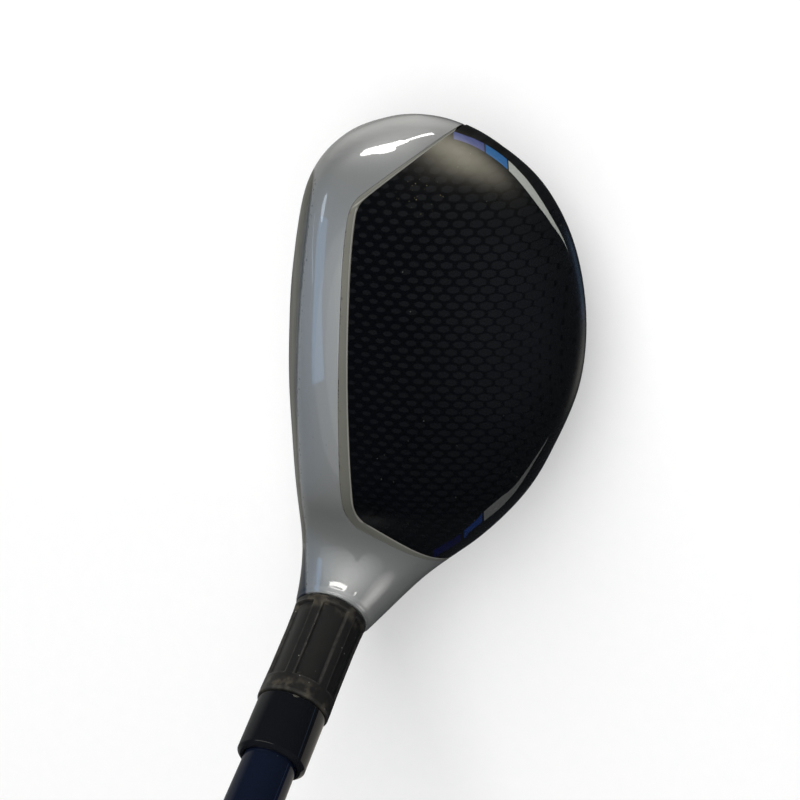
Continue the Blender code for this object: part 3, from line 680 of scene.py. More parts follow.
def make_lip(skin, rows):
    """The chamfered strip that steps down from the silver paint to the black panel."""
    # share of the width from the paint's edge, depth below the paint
    profile = ((0.0, 0.0), (0.04, 0.03), (0.1, 0.03), (0.5, 0.1), (0.88, 0.22), (1.0, 0.36),
               (1.0, 1.15), (0.0, 1.15))
    dense = divided(rows, 0.35)
    points = [row[:2] for row in dense]
    outer = spread(points, [row[2] - HAIRLINE / MM for row in dense])
    bm = bmesh.new()
    strips = []
    for inner_point, outer_point in zip(points, outer):
        ring = []
        for share, depth in profile:
            x = outer_point[0] + (inner_point[0] - outer_point[0]) * share
            y = outer_point[1] + (inner_point[1] - outer_point[1]) * share
            spot, normal = skin.above(x * MM, y * MM)
            if spot is None or normal.z < 0.03:
                break
            ring.append(spot - normal * depth * MM)
        if len(ring) == len(profile):
            strips.append([bm.verts.new(p) for p in ring])
    for a, b in zip(strips, strips[1:]):
        bridge(bm, a, b)
    bm.faces.new(strips[0])
    bm.faces.new(strips[-1])
    return shade(mesh_object("crown_lip", bm), 50.0)


def make_face(skin):
    face = head_form("face_fine")
    outline = closed_curve(FACE_OUTLINE, 4)
    combine(face, "INTERSECT", prism("face_blank", [outline], -6 * MM, 20 * MM, face_frame()))
    lines = []
    for k in range(SCORE_LINES):
        y = SCORE_FIRST + SCORE_PITCH * k
        line = capsule(2 * SCORE_REACH, SCORE_WIDTH, 4)
        lines.append([(px + SCORE_CENTRE_X, py + y) for px, py in line])
    scores = cap_tool("scores", lines, SCORE_DEPTH, -6 * MM, 20 * MM, face_frame())
    core = head_form("face_core", FACE_THICKNESS, coarse=True)
    combine(face, "DIFFERENCE", scores, core)
    return skin.shade(face)


def make_weight():
    seat = WEIGHT_SEAT_DEPTH
    profile = rounded(((0.0, WEIGHT_DEPTH), (WEIGHT_STEM_RADIUS, WEIGHT_DEPTH),
                       (WEIGHT_STEM_RADIUS, seat), (WEIGHT_RADIUS, seat),
                       (WEIGHT_RADIUS, 0.4 * MM), (0.0, 0.4 * MM)), 0.45 * MM)
    weight = turned("weight_fine", profile, 64, PORT)
    key = key_socket("weight_key", 2.6 * MM, -2 * MM, 2.2 * MM, PORT)
    return shade(combine(weight, "DIFFERENCE", key))


def make_screw():
    low, high = reach("sleeve_screw", HOSEL)
    profile = rounded(((0.0, high), (SCREW_RADIUS - 0.4 * MM, high),
                       (SCREW_RADIUS, high - 0.8 * MM), (SCREW_RADIUS, SCREW_HEAD_TOP),
                       (SCREW_HEAD_RADIUS, SCREW_HEAD_TOP), (SCREW_HEAD_RADIUS, low), (0.0, low)),
                      0.35 * MM)
    thread_start = SCREW_HEAD_TOP + SCREW_PLAIN_NECK

    def thread(radius, height, angle):
        if height < thread_start or height > high - 1 * MM or radius < SCREW_RADIUS - 0.1 * MM:
            return 0.0
        turn = (height / THREAD_PITCH + angle / (2 * math.pi)) % 1.0
        return -THREAD_DEPTH * abs(2 * turn - 1)

    screw = turned("screw_fine", refined(profile, 0.2 * MM, SCREW_RADIUS - 0.2 * MM), 48, HOSEL,
                   thread)
    key = key_socket("screw_key", 2.2 * MM, 0.0, low + 2.2 * MM, HOSEL)
    return shade(combine(screw, "DIFFERENCE", key), 50.0)


# ---------------------------------------------------------------- hosel and shaft pieces

def around(angle, centre):
    """The angle from centre, between -pi and pi."""
    return (angle - centre + math.pi) % (2 * math.pi) - math.pi


def within(height, zone):
    """1 inside a zone of heights and 0 outside it, over a soft edge."""
    low, high = zone
    return (smoothstep(height, low - RELIEF_EDGE, low + RELIEF_EDGE)
            * (1.0 - smoothstep(height, high - RELIEF_EDGE, high + RELIEF_EDGE)))


def sleeve_relief(radius, height, angle):
    """Teeth on the hidden part, shallow windows on the part that shows."""
    if radius < BORE_RADIUS - GAP - 0.05 * MM:
        return 0.0
    if height < TOOTH_ZONE[1] + RELIEF_EDGE:
        count, first, width, zone = TEETH, 0.0, TOOTH_WIDTH, TOOTH_ZONE
        depth = TOOTH_RADIUS - BORE_RADIUS + GAP
    else:
        count, first, width, zone = FLUTES, FLUTE_FIRST, FLUTE_WIDTH, FLUTE_ZONE
        depth = -FLUTE_DEPTH
    off = min(abs(around(angle, first + 2 * math.pi * k / count)) for k in range(count)) * radius
    half = width / 2 * radius
    return depth * within(height, zone) * (1.0 - smoothstep(off, half - RELIEF_EDGE,
                                                            half + RELIEF_EDGE))


def make_sleeve():
    top = reach("loft_sleeve", HOSEL)[1]
    inner = BORE_RADIUS - GAP
    socket = SHAFT_STATIONS[0][1] * MM + GAP
    waist = [(SLEEVE_RADIUS + out * MM, height * MM) for height, out in SLEEVE_WAIST]
    profile = [(SLEEVE_RADIUS, top), *waist, (inner, SLEEVE_SHOULDER),
               (inner, SLEEVE_BOTTOM + 0.4 * MM), (inner - 0.8 * MM, SLEEVE_BOTTOM),
               (SCREW_RADIUS + GAP, SLEEVE_BOTTOM), (SCREW_RADIUS + GAP, SHAFT_SOCKET_BOTTOM),
               (socket, SHAFT_SOCKET_BOTTOM), (socket, top)]
    lap = [((SLEEVE_RADIUS + socket) / 2, top)]
    profile = rounded(lap + profile + lap, 0.3 * MM)[:-1]
    step = 0.24
    profile = refined(profile, step * MM, BORE_RADIUS - 1.2 * MM)
    return shade(turned("sleeve_fine", profile, 200, HOSEL, sleeve_relief), 60.0)


def shaft_radius(height):
    """Outer radius of the shaft at a height along the hosel axis."""
    for (low, r_low), (high, r_high) in zip(SHAFT_STATIONS, SHAFT_STATIONS[1:]):
        if height <= high * MM:
            return (r_low + (r_high - r_low) * (height / MM - low) / (high - low)) * MM
    return SHAFT_STATIONS[-1][1] * MM


def make_ferrule():
    low, high = reach("ferrule", HOSEL)
    radius = FERRULE_RADIUS
    profile = ((radius - 0.75 * MM, high), (radius, high - 0.7 * MM), (radius, low),
               (shaft_radius(low) + GAP / 2, low), (shaft_radius(high) + GAP / 2, high))
    lap = ((radius - 1.1 * MM, high),)
    return turned("ferrule_fine", rounded(lap + profile + lap, 0.14 * MM)[:-1], 96, HOSEL)


def make_shaft():
    low, high = reach("shaft", HOSEL)
    count = 48
    heights = [high + (low - high) * k / count for k in range(count + 1)]
    outer = [(shaft_radius(h), h) for h in heights]
    inner = [(shaft_radius(h) - SHAFT_WALL, h) for h in reversed(heights)]
    return turned("shaft_fine", outer + inner, 96, HOSEL)


def grip_relief(low, high):
    """Crossed helical grooves with plain ends, and a collar line near each end."""
    def relief(radius, height, angle):
        if radius < 9.0 * MM:
            return 0.0
        zone = smoothstep(height, low + 14 * MM, low + 16 * MM)
        zone *= 1.0 - smoothstep(height, high - 16 * MM, high - 14 * MM)
        depth = 0.0
        for turn in (-1, 1):
            phase = (angle / (2 * math.pi) * TREAD_TURNS + turn * height / TREAD_PITCH) % 1.0
            depth = max(depth, 1.0 - smoothstep(abs(phase - 0.5), 0.04, 0.15))
        collar = sum(1.0 - smoothstep(abs(height - place), 0.3 * MM, 0.9 * MM)
                     for place in (low + 9 * MM, high - 11 * MM))
        return -TREAD_DEPTH * (depth * zone + 1.2 * collar)
    return relief


def make_grip():
    low, high = reach("grip", HOSEL)
    taper_end, shaft_butt = (value * MM for value in SHAFT_STATIONS[3])
    seat = high - GRIP_CAP_DEPTH
    outer = [(radius * MM, high - away * MM) for radius, away in GRIP_FROM_BUTT]
    outer += [(radius * MM, low + away * MM) for radius, away in GRIP_FROM_MOUTH]
    inner = [(shaft_radius(low) + TAPE_SPACE, low), (shaft_butt + TAPE_SPACE, taper_end),
             (shaft_butt + TAPE_SPACE, seat), (GRIP_CAP_RADIUS + GAP, seat),
             (GRIP_CAP_RADIUS + GAP, high)]
    lap = [(11.0 * MM, high)]
    profile = rounded(lap + outer + inner + lap, 1.2 * MM, 4)[:-1]
    profile = refined(profile, (0.6) * MM, 9.0 * MM)
    return turned("grip_fine", profile, 128, HOSEL, grip_relief(low, high))


def make_grip_cap():
    low, high = reach("grip_cap", HOSEL)
    radius = GRIP_CAP_RADIUS
    rings = []
    for k in range(3):
        centre = (8.0 - 2.4 * k) * MM
        rings += [(centre + 0.5 * MM, high), (centre, high - 0.35 * MM), (centre - 0.5 * MM, high)]
    profile = [(radius - 0.5 * MM, high), (radius, high - 0.6 * MM), (radius, low), (1.0 * MM, low),
               (1.0 * MM, high)]
    lap = [(radius - 1.0 * MM, high)]
    profile = lap + profile + rings[::-1]
    return turned("grip_cap_fine", rounded(profile + lap, 0.25 * MM)[:-1], 96, HOSEL)


# ---------------------------------------------------------------- material graphs

def display(red, green, blue):
    """A colour given as 0 to 255 on a display, in linear light."""
    def linear(value):
        value /= 255
        return value / 12.92 if value <= 0.04045 else ((value + 0.055) / 1.055) ** 2.4
    return (linear(red), linear(green), linear(blue), 1.0)


class Value:
    """A number in a node tree, with arithmetic that adds the nodes it needs."""

    def __init__(self, nodes, socket):
        self.nodes = nodes
        self.socket = socket

    def __add__(self, other):
        return self.nodes.math("ADD", self, other)

    def __sub__(self, other):
        return self.nodes.math("SUBTRACT", self, other)

    def __rsub__(self, other):
        return self.nodes.math("SUBTRACT", other, self)

    def __mul__(self, other):
        return self.nodes.math("MULTIPLY", self, other)

    def __abs__(self):
        return self.nodes.math("ABSOLUTE", self)

    __radd__ = __add__
    __rmul__ = __mul__


class Nodes:
    """Short calls for the nodes of one tree. A value is a Value, a socket or a constant."""

    def __init__(self, tree):
        self.tree = tree

    def node(self, kind, *values, **settings):
        node = self.tree.nodes.new("ShaderNode" + kind)
        for key, value in settings.items():
            setattr(node, key, value)
        for socket, value in zip(node.inputs, values):
            self.put(socket, value)
        return node

    def put(self, socket, value):
        if isinstance(value, Value):
            value = value.socket
        if isinstance(value, bpy.types.NodeSocket):
            self.tree.links.new(value, socket)
        else:
            socket.default_value = value

    def math(self, operation, *values):
        return Value(self, self.node("Math", *values, operation=operation).outputs[0])

    def least(self, *values):
        return reduce(lambda a, b: self.math("MINIMUM", a, b), values)

    def most(self, *values):
        return reduce(lambda a, b: self.math("MAXIMUM", a, b), values)

    def ramp(self, value, low, high, at_low=0.0, at_high=1.0, **settings):
        """A straight ramp between low and high, level outside them."""
        node = self.node("MapRange", value, low, high, at_low, at_high, **settings)
        return Value(self, node.outputs[0])

    def step(self, value, low, high):
        """0 at low and 1 at high, with a smooth ramp between them."""
        return self.ramp(value, low, high, interpolation_type="SMOOTHSTEP")

    def band(self, value, low, high, soft):
        """1 between low and high."""
        return self.step(value, low - soft, low + soft) * self.step(value, high + soft, high - soft)


class Graph(Nodes):
    """One procedural material. Lengths are millimetres in the object's own coordinates. A
    colour is a socket, or red, green and blue as 0 to 255 on a display."""

    def __init__(self, name, **constants):
        self.material = bpy.data.materials.new(name)
        self.material.use_nodes = True
        super().__init__(self.material.node_tree)
        self.shader = self.tree.nodes["Principled BSDF"]
        for key, value in constants.items():
            self.shader.inputs[key.replace("_", " ")].default_value = value
        scaled = self.node("VectorMath", self.node("TexCoord").outputs["Object"],
                           operation="SCALE")
        scaled.inputs["Scale"].default_value = 1 / MM
        self.point = scaled.outputs[0]
        self.x, self.y, self.z = (Value(self, socket) for socket in
                                  self.node("SeparateXYZ", self.point).outputs)

    def set(self, name, value):
        self.put(self.shader.inputs[name], value)

    def mix(self, factor, a, b):
        node = self.node("Mix", data_type="RGBA")
        self.put(node.inputs[0], factor)
        for place, colour in ((6, a), (7, b)):
            self.put(node.inputs[place], display(*colour) if isinstance(colour, tuple) else colour)
        return node.outputs[2]

    def layers(self, colour, *coats):
        """A colour under coats of (factor, colour)."""
        for factor, over in coats:
            colour = self.mix(factor, colour, over)
        return colour

    def stretch(self, x, y, z):
        """The point with each axis scaled, for grain that runs one way."""
        return self.node("VectorMath", self.point, (x, y, z), operation="MULTIPLY").outputs[0]

    def noise(self, size, detail=2.0, vector=None, rough=0.5):
        """Noise from 0 to 1 with lumps of about a size in millimetres."""
        node = self.node("TexNoise", vector or self.point)
        node.inputs["Scale"].default_value = 1 / size
        node.inputs["Detail"].default_value = detail
        node.inputs["Roughness"].default_value = rough
        return Value(self, node.outputs[0])

    def cells(self, size):
        """Distance from the middle of random cells, 0 to about 1."""
        node = self.node("TexVoronoi", self.point)
        node.inputs["Scale"].default_value = 1 / size
        return Value(self, node.outputs[0])

    def specks(self, spacing, outer, inner, patch, low, high):
        """Small round spots, from an outer to an inner radius, in patches of noise."""
        return self.step(self.cells(spacing), outer, inner) * self.step(self.noise(patch), low, high)

    def curve(self, value, points):
        """A smooth function of value through points, both in millimetres."""
        first, last = points[0][0], points[-1][0]
        floor = min(y for _, y in points)
        span = max(y for _, y in points) - floor
        places = [((x - first) / (last - first), (y - floor) / span) for x, y in points]
        node = self.node("FloatCurve", 1.0, self.ramp(value, first, last))
        line = node.mapping.curves[0]
        line.points[0].location = places[0]
        for place in places[1:-1]:
            line.points.new(*place)
        line.points[-1].location = places[-1]
        node.mapping.update()
        return self.ramp(node.outputs[0], 0.0, 1.0, floor, floor + span)

    def behind(self, start, end):
        """How far a point lies behind the line from start to end in plan."""
        length = math.dist(start, end)
        nx = -(end[1] - start[1]) / length
        ny = (end[0] - start[0]) / length
        return self.x * nx + self.y * ny - (nx * start[0] + ny * start[1])

    def roughen(self, value, smooth, rough, low=0.2, high=0.8):
        self.set("Roughness", self.ramp(value, low, high, smooth, rough))

    def bump(self, height, depth):
        """Relief of a depth in millimetres for heights from 0 to 1."""
        node = self.node("Bump")
        node.inputs["Strength"].default_value = 1.0
        node.inputs["Distance"].default_value = depth * MM
        self.put(node.inputs["Height"], height)
        self.set("Normal", node.outputs[0])

    def dress(self, obj):
        obj.data.materials.clear()
        obj.data.materials.append(self.material)


# ---------------------------------------------------------------- materials

def paint_material():
    """Pearl silver paint in front, bare brushed metal round the face, satin black behind."""
    g = Graph("silver_paint", Coat_Roughness=0.04)
    toward_hosel = g.least(g.x, 28.0)
    off_face = g.z * math.sin(LOFT) - (g.y - LEADING_EDGE_Y) * math.cos(LOFT)
    off_face += toward_hosel * toward_hosel * FACE_BULGE
    ragged = off_face + g.noise(0.7, 4.0) * 0.3
    bare = g.step(ragged, 0.62, 0.7)
    chips = g.band(off_face, -0.1, 0.6, 0.2) * g.step(g.noise(0.45, 3.0), 0.6, 0.66)
    scorched = g.band(ragged, 0.45, 0.72, 0.08)
    rear = g.least(g.behind(*TOE_END), g.behind(*HEEL_END), PANEL_LOW / MM + 1.5 - g.z)
    sole_line = g.noise(9.0) * 0.25 + 3.4
    heel_shade = bare * g.step(g.x, 31.0, 33.0)
    bare = bare - heel_shade
    black = g.most(g.step(rear, -0.1, 0.1), g.step(sole_line - g.z, -0.08, 0.08), heel_shade)
    pearl = g.mix(g.noise(26.0), (94, 96, 96), (102, 103, 101))
    flecks = g.ramp(g.noise(0.09, 1.0), 0.45, 0.75, 0.0, 0.16)
    grain = g.noise(0.35, 3.0, g.stretch(0.06, 1.0, 1.0))
    steel = g.mix(grain, (96, 93, 84), (150, 147, 138))
    satin = g.mix(g.noise(0.6, 3.0), (13, 13, 15), (24, 24, 27))
    g.set("Base Color", g.layers(
        pearl, (flecks, (136, 138, 140)), (g.specks(2.6, 0.055, 0.03, 6.0, 0.5, 0.6), (60, 56, 50)),
        (black, satin), (bare, steel), (g.most(chips, scorched * 0.75), (42, 40, 38))))
    g.set("Metallic", g.most(g.ramp(black, 0.0, 1.0, 0.18, 0.0), bare))
    g.set("Coat Weight", g.ramp(bare, 0.0, 1.0, 1.0, 0.0) * g.ramp(black, 0.0, 1.0, 1.0, 0.4))
    g.roughen(bare, 0.42, 0.36, 0.0, 1.0)
    g.bump(grain * bare, 0.02)
    return g


def hexagons(g):
    """How far each point of the crown lies from the middle of its cell, 0 in the middle and 1
    at the edge, for cells shaped as hexagons and as ovals."""
    in_hexagons = []
    in_ovals = []
    for shift in (0.0, 0.5):
        across, along = (abs(g.math("FRACT", value * (1 / pitch) + (shift + 50.0)) - 0.5)
                         for value, pitch in ((g.x, HEXAGON_PITCH_X), (g.y, HEXAGON_PITCH_Y)))
        u = across * (HEXAGON_PITCH_X / HEXAGON_WIDTH)
        v = along * 2.0
        in_hexagons.append(g.most(v, u + v * 0.5))
        wide = u * OVAL_WIDENING
        in_ovals.append(g.math("SQRT", wide * wide + v * v))
    return g.least(*in_hexagons), g.least(*in_ovals)


def stripe_coats(g):
    """The factor and colour of every accent stripe, with painted light on the toe set and painted
    shade on the heel set.
    """
    brushed = g.noise(0.5, 3.0, g.stretch(1.0, 0.4, 1.0))
    coats = []
    for side, lean, level, low, high, stripes in STRIPES:
        inside = g.step(g.x, STRIPE_SPLIT_X - side / 2, STRIPE_SPLIT_X + side / 2)
        inside *= g.step(g.z - g.curve(g.y, low), -0.06, 0.06)
        inside *= g.step(g.curve(g.y, high) - g.z, -0.06, 0.06)
        along = g.y - (g.z - level) * lean
        for start, end, dark, light in stripes:
            coats.append((inside * g.band(along, start, end, 0.07), g.mix(brushed, dark, light)))
    return coats


def crown_material():
    """Near-black clear-coated panel with printed hexagons and accent stripes."""
    g = Graph("crown_black", Coat_Weight=0.0, Specular_IOR_Level=0.28)
    in_hexagon, in_oval = hexagons(g)
    rear = g.ramp(g.y, 4.0, 38.0)
    shape = in_hexagon * rear + in_oval * (1.0 - rear)
    dots = g.step(shape - g.ramp(rear, 0.0, 1.0, 0.54, 0.9), 0.08, -0.08)
    ground = g.mix(g.noise(14.0), (2, 3, 5), (4, 5, 7))
    dot_tone = g.mix(g.noise(7.0), (9, 11, 14), (15, 16, 18))
    scuffed = abs(g.x + 41.5) + abs(g.y - 15.0) * 0.8
    scuffs = g.step(scuffed, 5.0, 2.0) * g.specks(0.55, 0.2, 0.1, 0.8, 0.5, 0.6)
    g.set("Base Color", g.layers(
        ground, (dots * g.ramp(g.x, -30.0, 26.0, 1.0, 0.4), dot_tone), *stripe_coats(g),
        (g.specks(1.7, 0.07, 0.04, 5.0, 0.55, 0.62) * 0.5, (110, 108, 96)), (scuffs, (104, 98, 66))))
    worn = g.ramp(g.noise(1.1, 6.0, rough=0.7), 0.25, 0.75, 0.23, 0.29)
    g.set("Roughness", worn + g.ramp(g.x, -52.0, -26.0, 0.06, 0.0))
    return g


def lip_material():
    """The paint, tinted a little lighter and warmer as a painted reflection, dotted with dirt
    outside, darker in brown patches towards its outer edge, and with a painted highlight line beside
    the panel.
    """
    g = Graph("lip_paint", Coat_Weight=1.0, Coat_Roughness=0.06, Metallic=0.15)
    front = PANEL_EDGE[3:-3]
    inner = g.curve(g.x, [(x, y) for x, y, _ in front])
    outer = g.curve(g.x, [(x, y - width) for x, y, width in front])
    middle = g.band(g.x, front[0][0], front[-1][0], 0.3)
    # painted highlight: a thin pale line along the front of the panel's edge and across its toe and
    # heel ends
    painted_edge_highlight = g.most(
        middle * g.step(g.y - inner, -0.26, -0.16),
        g.step(abs(g.behind(*TOE_END)), 0.16, 0.08) * g.step(g.x, -38.0, -39.0),
        g.step(abs(g.behind(*HEEL_END)), 0.16, 0.08) * g.step(g.x, 23.0, 24.0))
    off = abs(g.y - outer)
    dots = middle * g.step(off, 0.16, 0.1) * g.step(g.noise(0.35), 0.52, 0.58)
    dots *= g.step(g.noise(7.0), 0.36, 0.5)
    fine = g.noise(0.9, 4.0)
    # darker brown patches towards the lip's outer edge, fading inwards
    outer_darkening = middle * g.step(fine, 0.56, 0.8) * g.step(off, 0.9, 0.2)
    # painted reflection: the lip's paint is a little lighter and warmer than the body's, for the warm
    # surroundings its slope reflects
    tone = g.mix(g.noise(9.0), (106, 106, 99), (114, 113, 105))
    g.set("Base Color", g.layers(tone, (outer_darkening * 0.6, (72, 66, 50)), (dots, (44, 38, 28)),
                                 (painted_edge_highlight * 0.6, (168, 166, 158))))
    g.roughen(fine, 0.38, 0.46)
    return g


def steel_material(name, dark, light, grain_axis, roughness):
    """Brushed metal with grain along one axis and small nicks."""
    g = Graph(name, Metallic=1.0)
    grain = g.noise(0.3, 4.0, g.stretch(*grain_axis))
    g.set("Base Color", g.layers(g.mix(grain, dark, light),
                                 (g.specks(1.9, 0.07, 0.04, 4.0, 0.5, 0.6), (60, 56, 50))))
    g.roughen(grain, roughness, roughness + 0.14)
    g.bump(grain, 0.015)
    return g


def plastic_material(name, dark, light, roughness, texture, relief):
    """Moulded plastic, rubber or paper with a fine texture."""
    g = Graph(name)
    fine = g.noise(texture, 3.0)
    g.set("Base Color", g.mix(g.noise(texture * 12, 3.0), dark, light))
    g.roughen(fine, roughness - 0.05, roughness + 0.08)
    g.bump(fine, relief)
    return g


def sleeve_material():
    """Black anodised aluminium, worn pale along the edges of its windows."""
    g = Graph("sleeve_anodised", Metallic=0.35)
    low, high = (edge / MM for edge in FLUTE_ZONE)
    pitch = 2 * math.pi / FLUTES
    turn = g.math("ARCTAN2", g.y, g.x) * (1 / pitch) + (0.5 - FLUTE_FIRST / pitch + 8)
    off = abs(g.math("FRACT", turn) - 0.5) * (pitch * SLEEVE_RADIUS / MM)
    half = FLUTE_WIDTH / 2 * SLEEVE_RADIUS / MM
    side_edge = g.band(off, half - 0.1, half + 0.35, 0.12) * g.band(g.z, low - 0.2, high + 0.2, 0.15)
    end_edge = g.step(off, half + 0.4, half) * g.most(g.band(g.z, low - 0.4, low, 0.12),
                                                      g.band(g.z, high, high + 0.4, 0.12))
    worn = g.most(side_edge, end_edge, g.band(g.z, 46.7, 47.4, 0.1))
    worn *= g.ramp(g.noise(1.6, 4.0), 0.35, 0.65, 0.25, 1.0)
    ends = g.most(g.step(g.z, 43.6, 45.4), g.step(g.z, 29.0, 27.4))
    rubbed = g.step(g.noise(2.6, 5.0), 0.46, 0.64) * ends
    smear = g.noise(2.6, 4.0, g.stretch(1.0, 1.0, 0.35))
    g.set("Base Color", g.layers(
        g.mix(smear, (28, 28, 29), (46, 45, 43)), (worn * 0.5, (84, 82, 78)),
        (rubbed * 0.55, (92, 86, 74)), (g.specks(1.5, 0.085, 0.05, 3.0, 0.5, 0.58), (150, 148, 140))))
    g.roughen(smear, 0.36, 0.5)
    g.bump(g.noise(0.25, 3.0), 0.006)
    return g


def gloss_material(name, dark, light):
    """Dark lacquer with a faint cloud and small specks of dust."""
    g = Graph(name, Coat_Weight=0.55, Coat_Roughness=0.03, Specular_IOR_Level=0.0)
    tone = g.mix(g.noise(18.0, 3.0, g.stretch(1.0, 1.0, 0.3)), dark, light)
    dust = g.specks(2.1, 0.04, 0.02, 5.0, 0.56, 0.62)
    g.set("Base Color", g.layers(tone, (dust * 0.4, (110, 110, 104))))
    g.roughen(g.noise(0.6, 3.0), 0.2, 0.3)
    return g


def floor_material():
    """Pale paper that glows a little, so that it stays pale far from the lights."""
    g = Graph("floor_pale", Roughness=0.9, Specular_IOR_Level=0.1, Emission_Strength=0.4)
    fibres = g.noise(3.0, 3.0)
    g.set("Base Color", g.mix(fibres, (195, 195, 195), (197, 197, 196)))
    g.set("Emission Color", g.mix(fibres, (250, 250, 250), (253, 253, 252)))
    return g


# ---------------------------------------------------------------- stage

def place_camera():
    camera = bpy.data.cameras.new("camera")
    camera.lens = CAMERA_LENS
    camera.clip_start = 0.01
    camera.clip_end = 100.0
    obj = bpy.data.objects.new("camera", camera)
    obj.matrix_world = facing_frame(CAMERA_AT, CAMERA_AT - CAMERA_AIM, CAMERA_UP)
    bpy.context.scene.collection.objects.link(obj)
    bpy.context.scene.camera = obj


def place_floor():
    bm = bmesh.new()
    bmesh.ops.create_grid(bm, x_segments=2, y_segments=2, size=FLOOR_SIZE / 2)
    floor = mesh_object("floor", bm, Matrix.Translation((0.0, 0.0, -FLOOR_GAP)))
    floor_material().dress(floor)
    floor.visible_glossy = False
    floor.visible_shadow = False


def place_world():
    """A pale background for the camera, and dim glows that light and reflections see."""
    world = bpy.data.worlds.new("studio")
    world.use_nodes = True
    nodes = Nodes(world.node_tree)
    way = nodes.node("TexCoord").outputs["Generated"]
    glow = WORLD_BASE
    for direction, full, gone, radiance in WORLD_GLOWS:
        facing = nodes.node("VectorMath", way, Vector(direction).normalized(),
                            operation="DOT_PRODUCT").outputs["Value"]
        lobe = nodes.node("VectorMath", radiance, operation="SCALE")
        nodes.put(lobe.inputs["Scale"], nodes.step(facing, math.cos(math.radians(gone)),
                                                   math.cos(math.radians(full))))
        glow = nodes.node("VectorMath", glow, lobe.outputs[0], operation="ADD").outputs[0]
    dim = nodes.tree.nodes["Background"]
    nodes.put(dim.inputs["Color"], glow)
    pale = nodes.node("Background", (0.9, 0.9, 0.9, 1.0))
    seen = nodes.node("LightPath").outputs["Is Camera Ray"]
    mix = nodes.node("MixShader", seen, dim.outputs[0], pale.outputs[0])
    nodes.put(nodes.tree.nodes["World Output"].inputs["Surface"], mix.outputs[0])
    bpy.context.scene.world = world
    bpy.context.scene.view_settings.view_transform = "Standard"


# ---------------------------------------------------------------- lights

def soft_light(name, place, long_side, width, height, radiance, colour, target, round_shape=False):
    """A flat soft light that faces a target; its height runs along long_side."""
    light = bpy.data.lights.new(name, "AREA")
    light.shape = "ELLIPSE" if round_shape else "RECTANGLE"
    area = width * height * (math.pi / 4 if round_shape else 1.0)
    light.size = width
    light.size_y = height
    light.energy = radiance * math.pi * area
    light.color = colour
    obj = bpy.data.objects.new(name, light)
    obj.matrix_world = facing_frame(place, place - target, long_side)
    obj.visible_camera = False
    bpy.context.scene.collection.objects.link(obj)
    return obj


def softbox(name, azimuth, elevation, distance, size, radiance):
    """A large light that fills without showing in reflections. Azimuth turns from +Y to +X."""
    a = math.radians(azimuth)
    e = math.radians(elevation)
    way = Vector((math.sin(a) * math.cos(e), math.cos(a) * math.cos(e), math.sin(e)))
    up = Vector((0.0, 0.0, 1.0)) if elevation < 80 else Vector((0.0, 1.0, 0.0))
    light = soft_light(name, way * distance, up, size, size, radiance, WHITE, Vector())
    light.visible_glossy = False


class Reflections:
    """Lights that show only as reflections in chosen pieces, placed by direction."""

    def __init__(self, target, *pieces):
        self.target = Vector(target) * MM
        self.pieces = [bpy.data.objects[name] for name in pieces]

    def card(self, name, start, end, thickness, radiance, colour, round_shape=False):
        """A strip between two directions from the target, its thickness in degrees."""
        a = Vector(start).normalized() * CARD_DISTANCE
        b = Vector(end).normalized() * CARD_DISTANCE
        width = CARD_DISTANCE * math.radians(thickness)
        light = soft_light(name, self.target + (a + b) / 2, b - a, width, (b - a).length, radiance,
                           colour, self.target, round_shape)
        light.visible_diffuse = False
        receivers = bpy.data.collections.new(f"{name}_receivers")
        for piece in self.pieces:
            receivers.objects.link(piece)
        light.light_linking.receiver_collection = receivers

    def glow(self, name, way, half_angle, radiance, colour):
        """A round patch that fades outwards in steps."""
        way = Vector(way).normalized()
        side = way.orthogonal().normalized()
        for k, share in enumerate(GLOW_STEPS):
            edge = side * math.tan(math.radians(half_angle * share))
            self.card(f"{name}_{k}", way - edge, way + edge, 2 * half_angle * share,
                      radiance / len(GLOW_STEPS), colour, True)


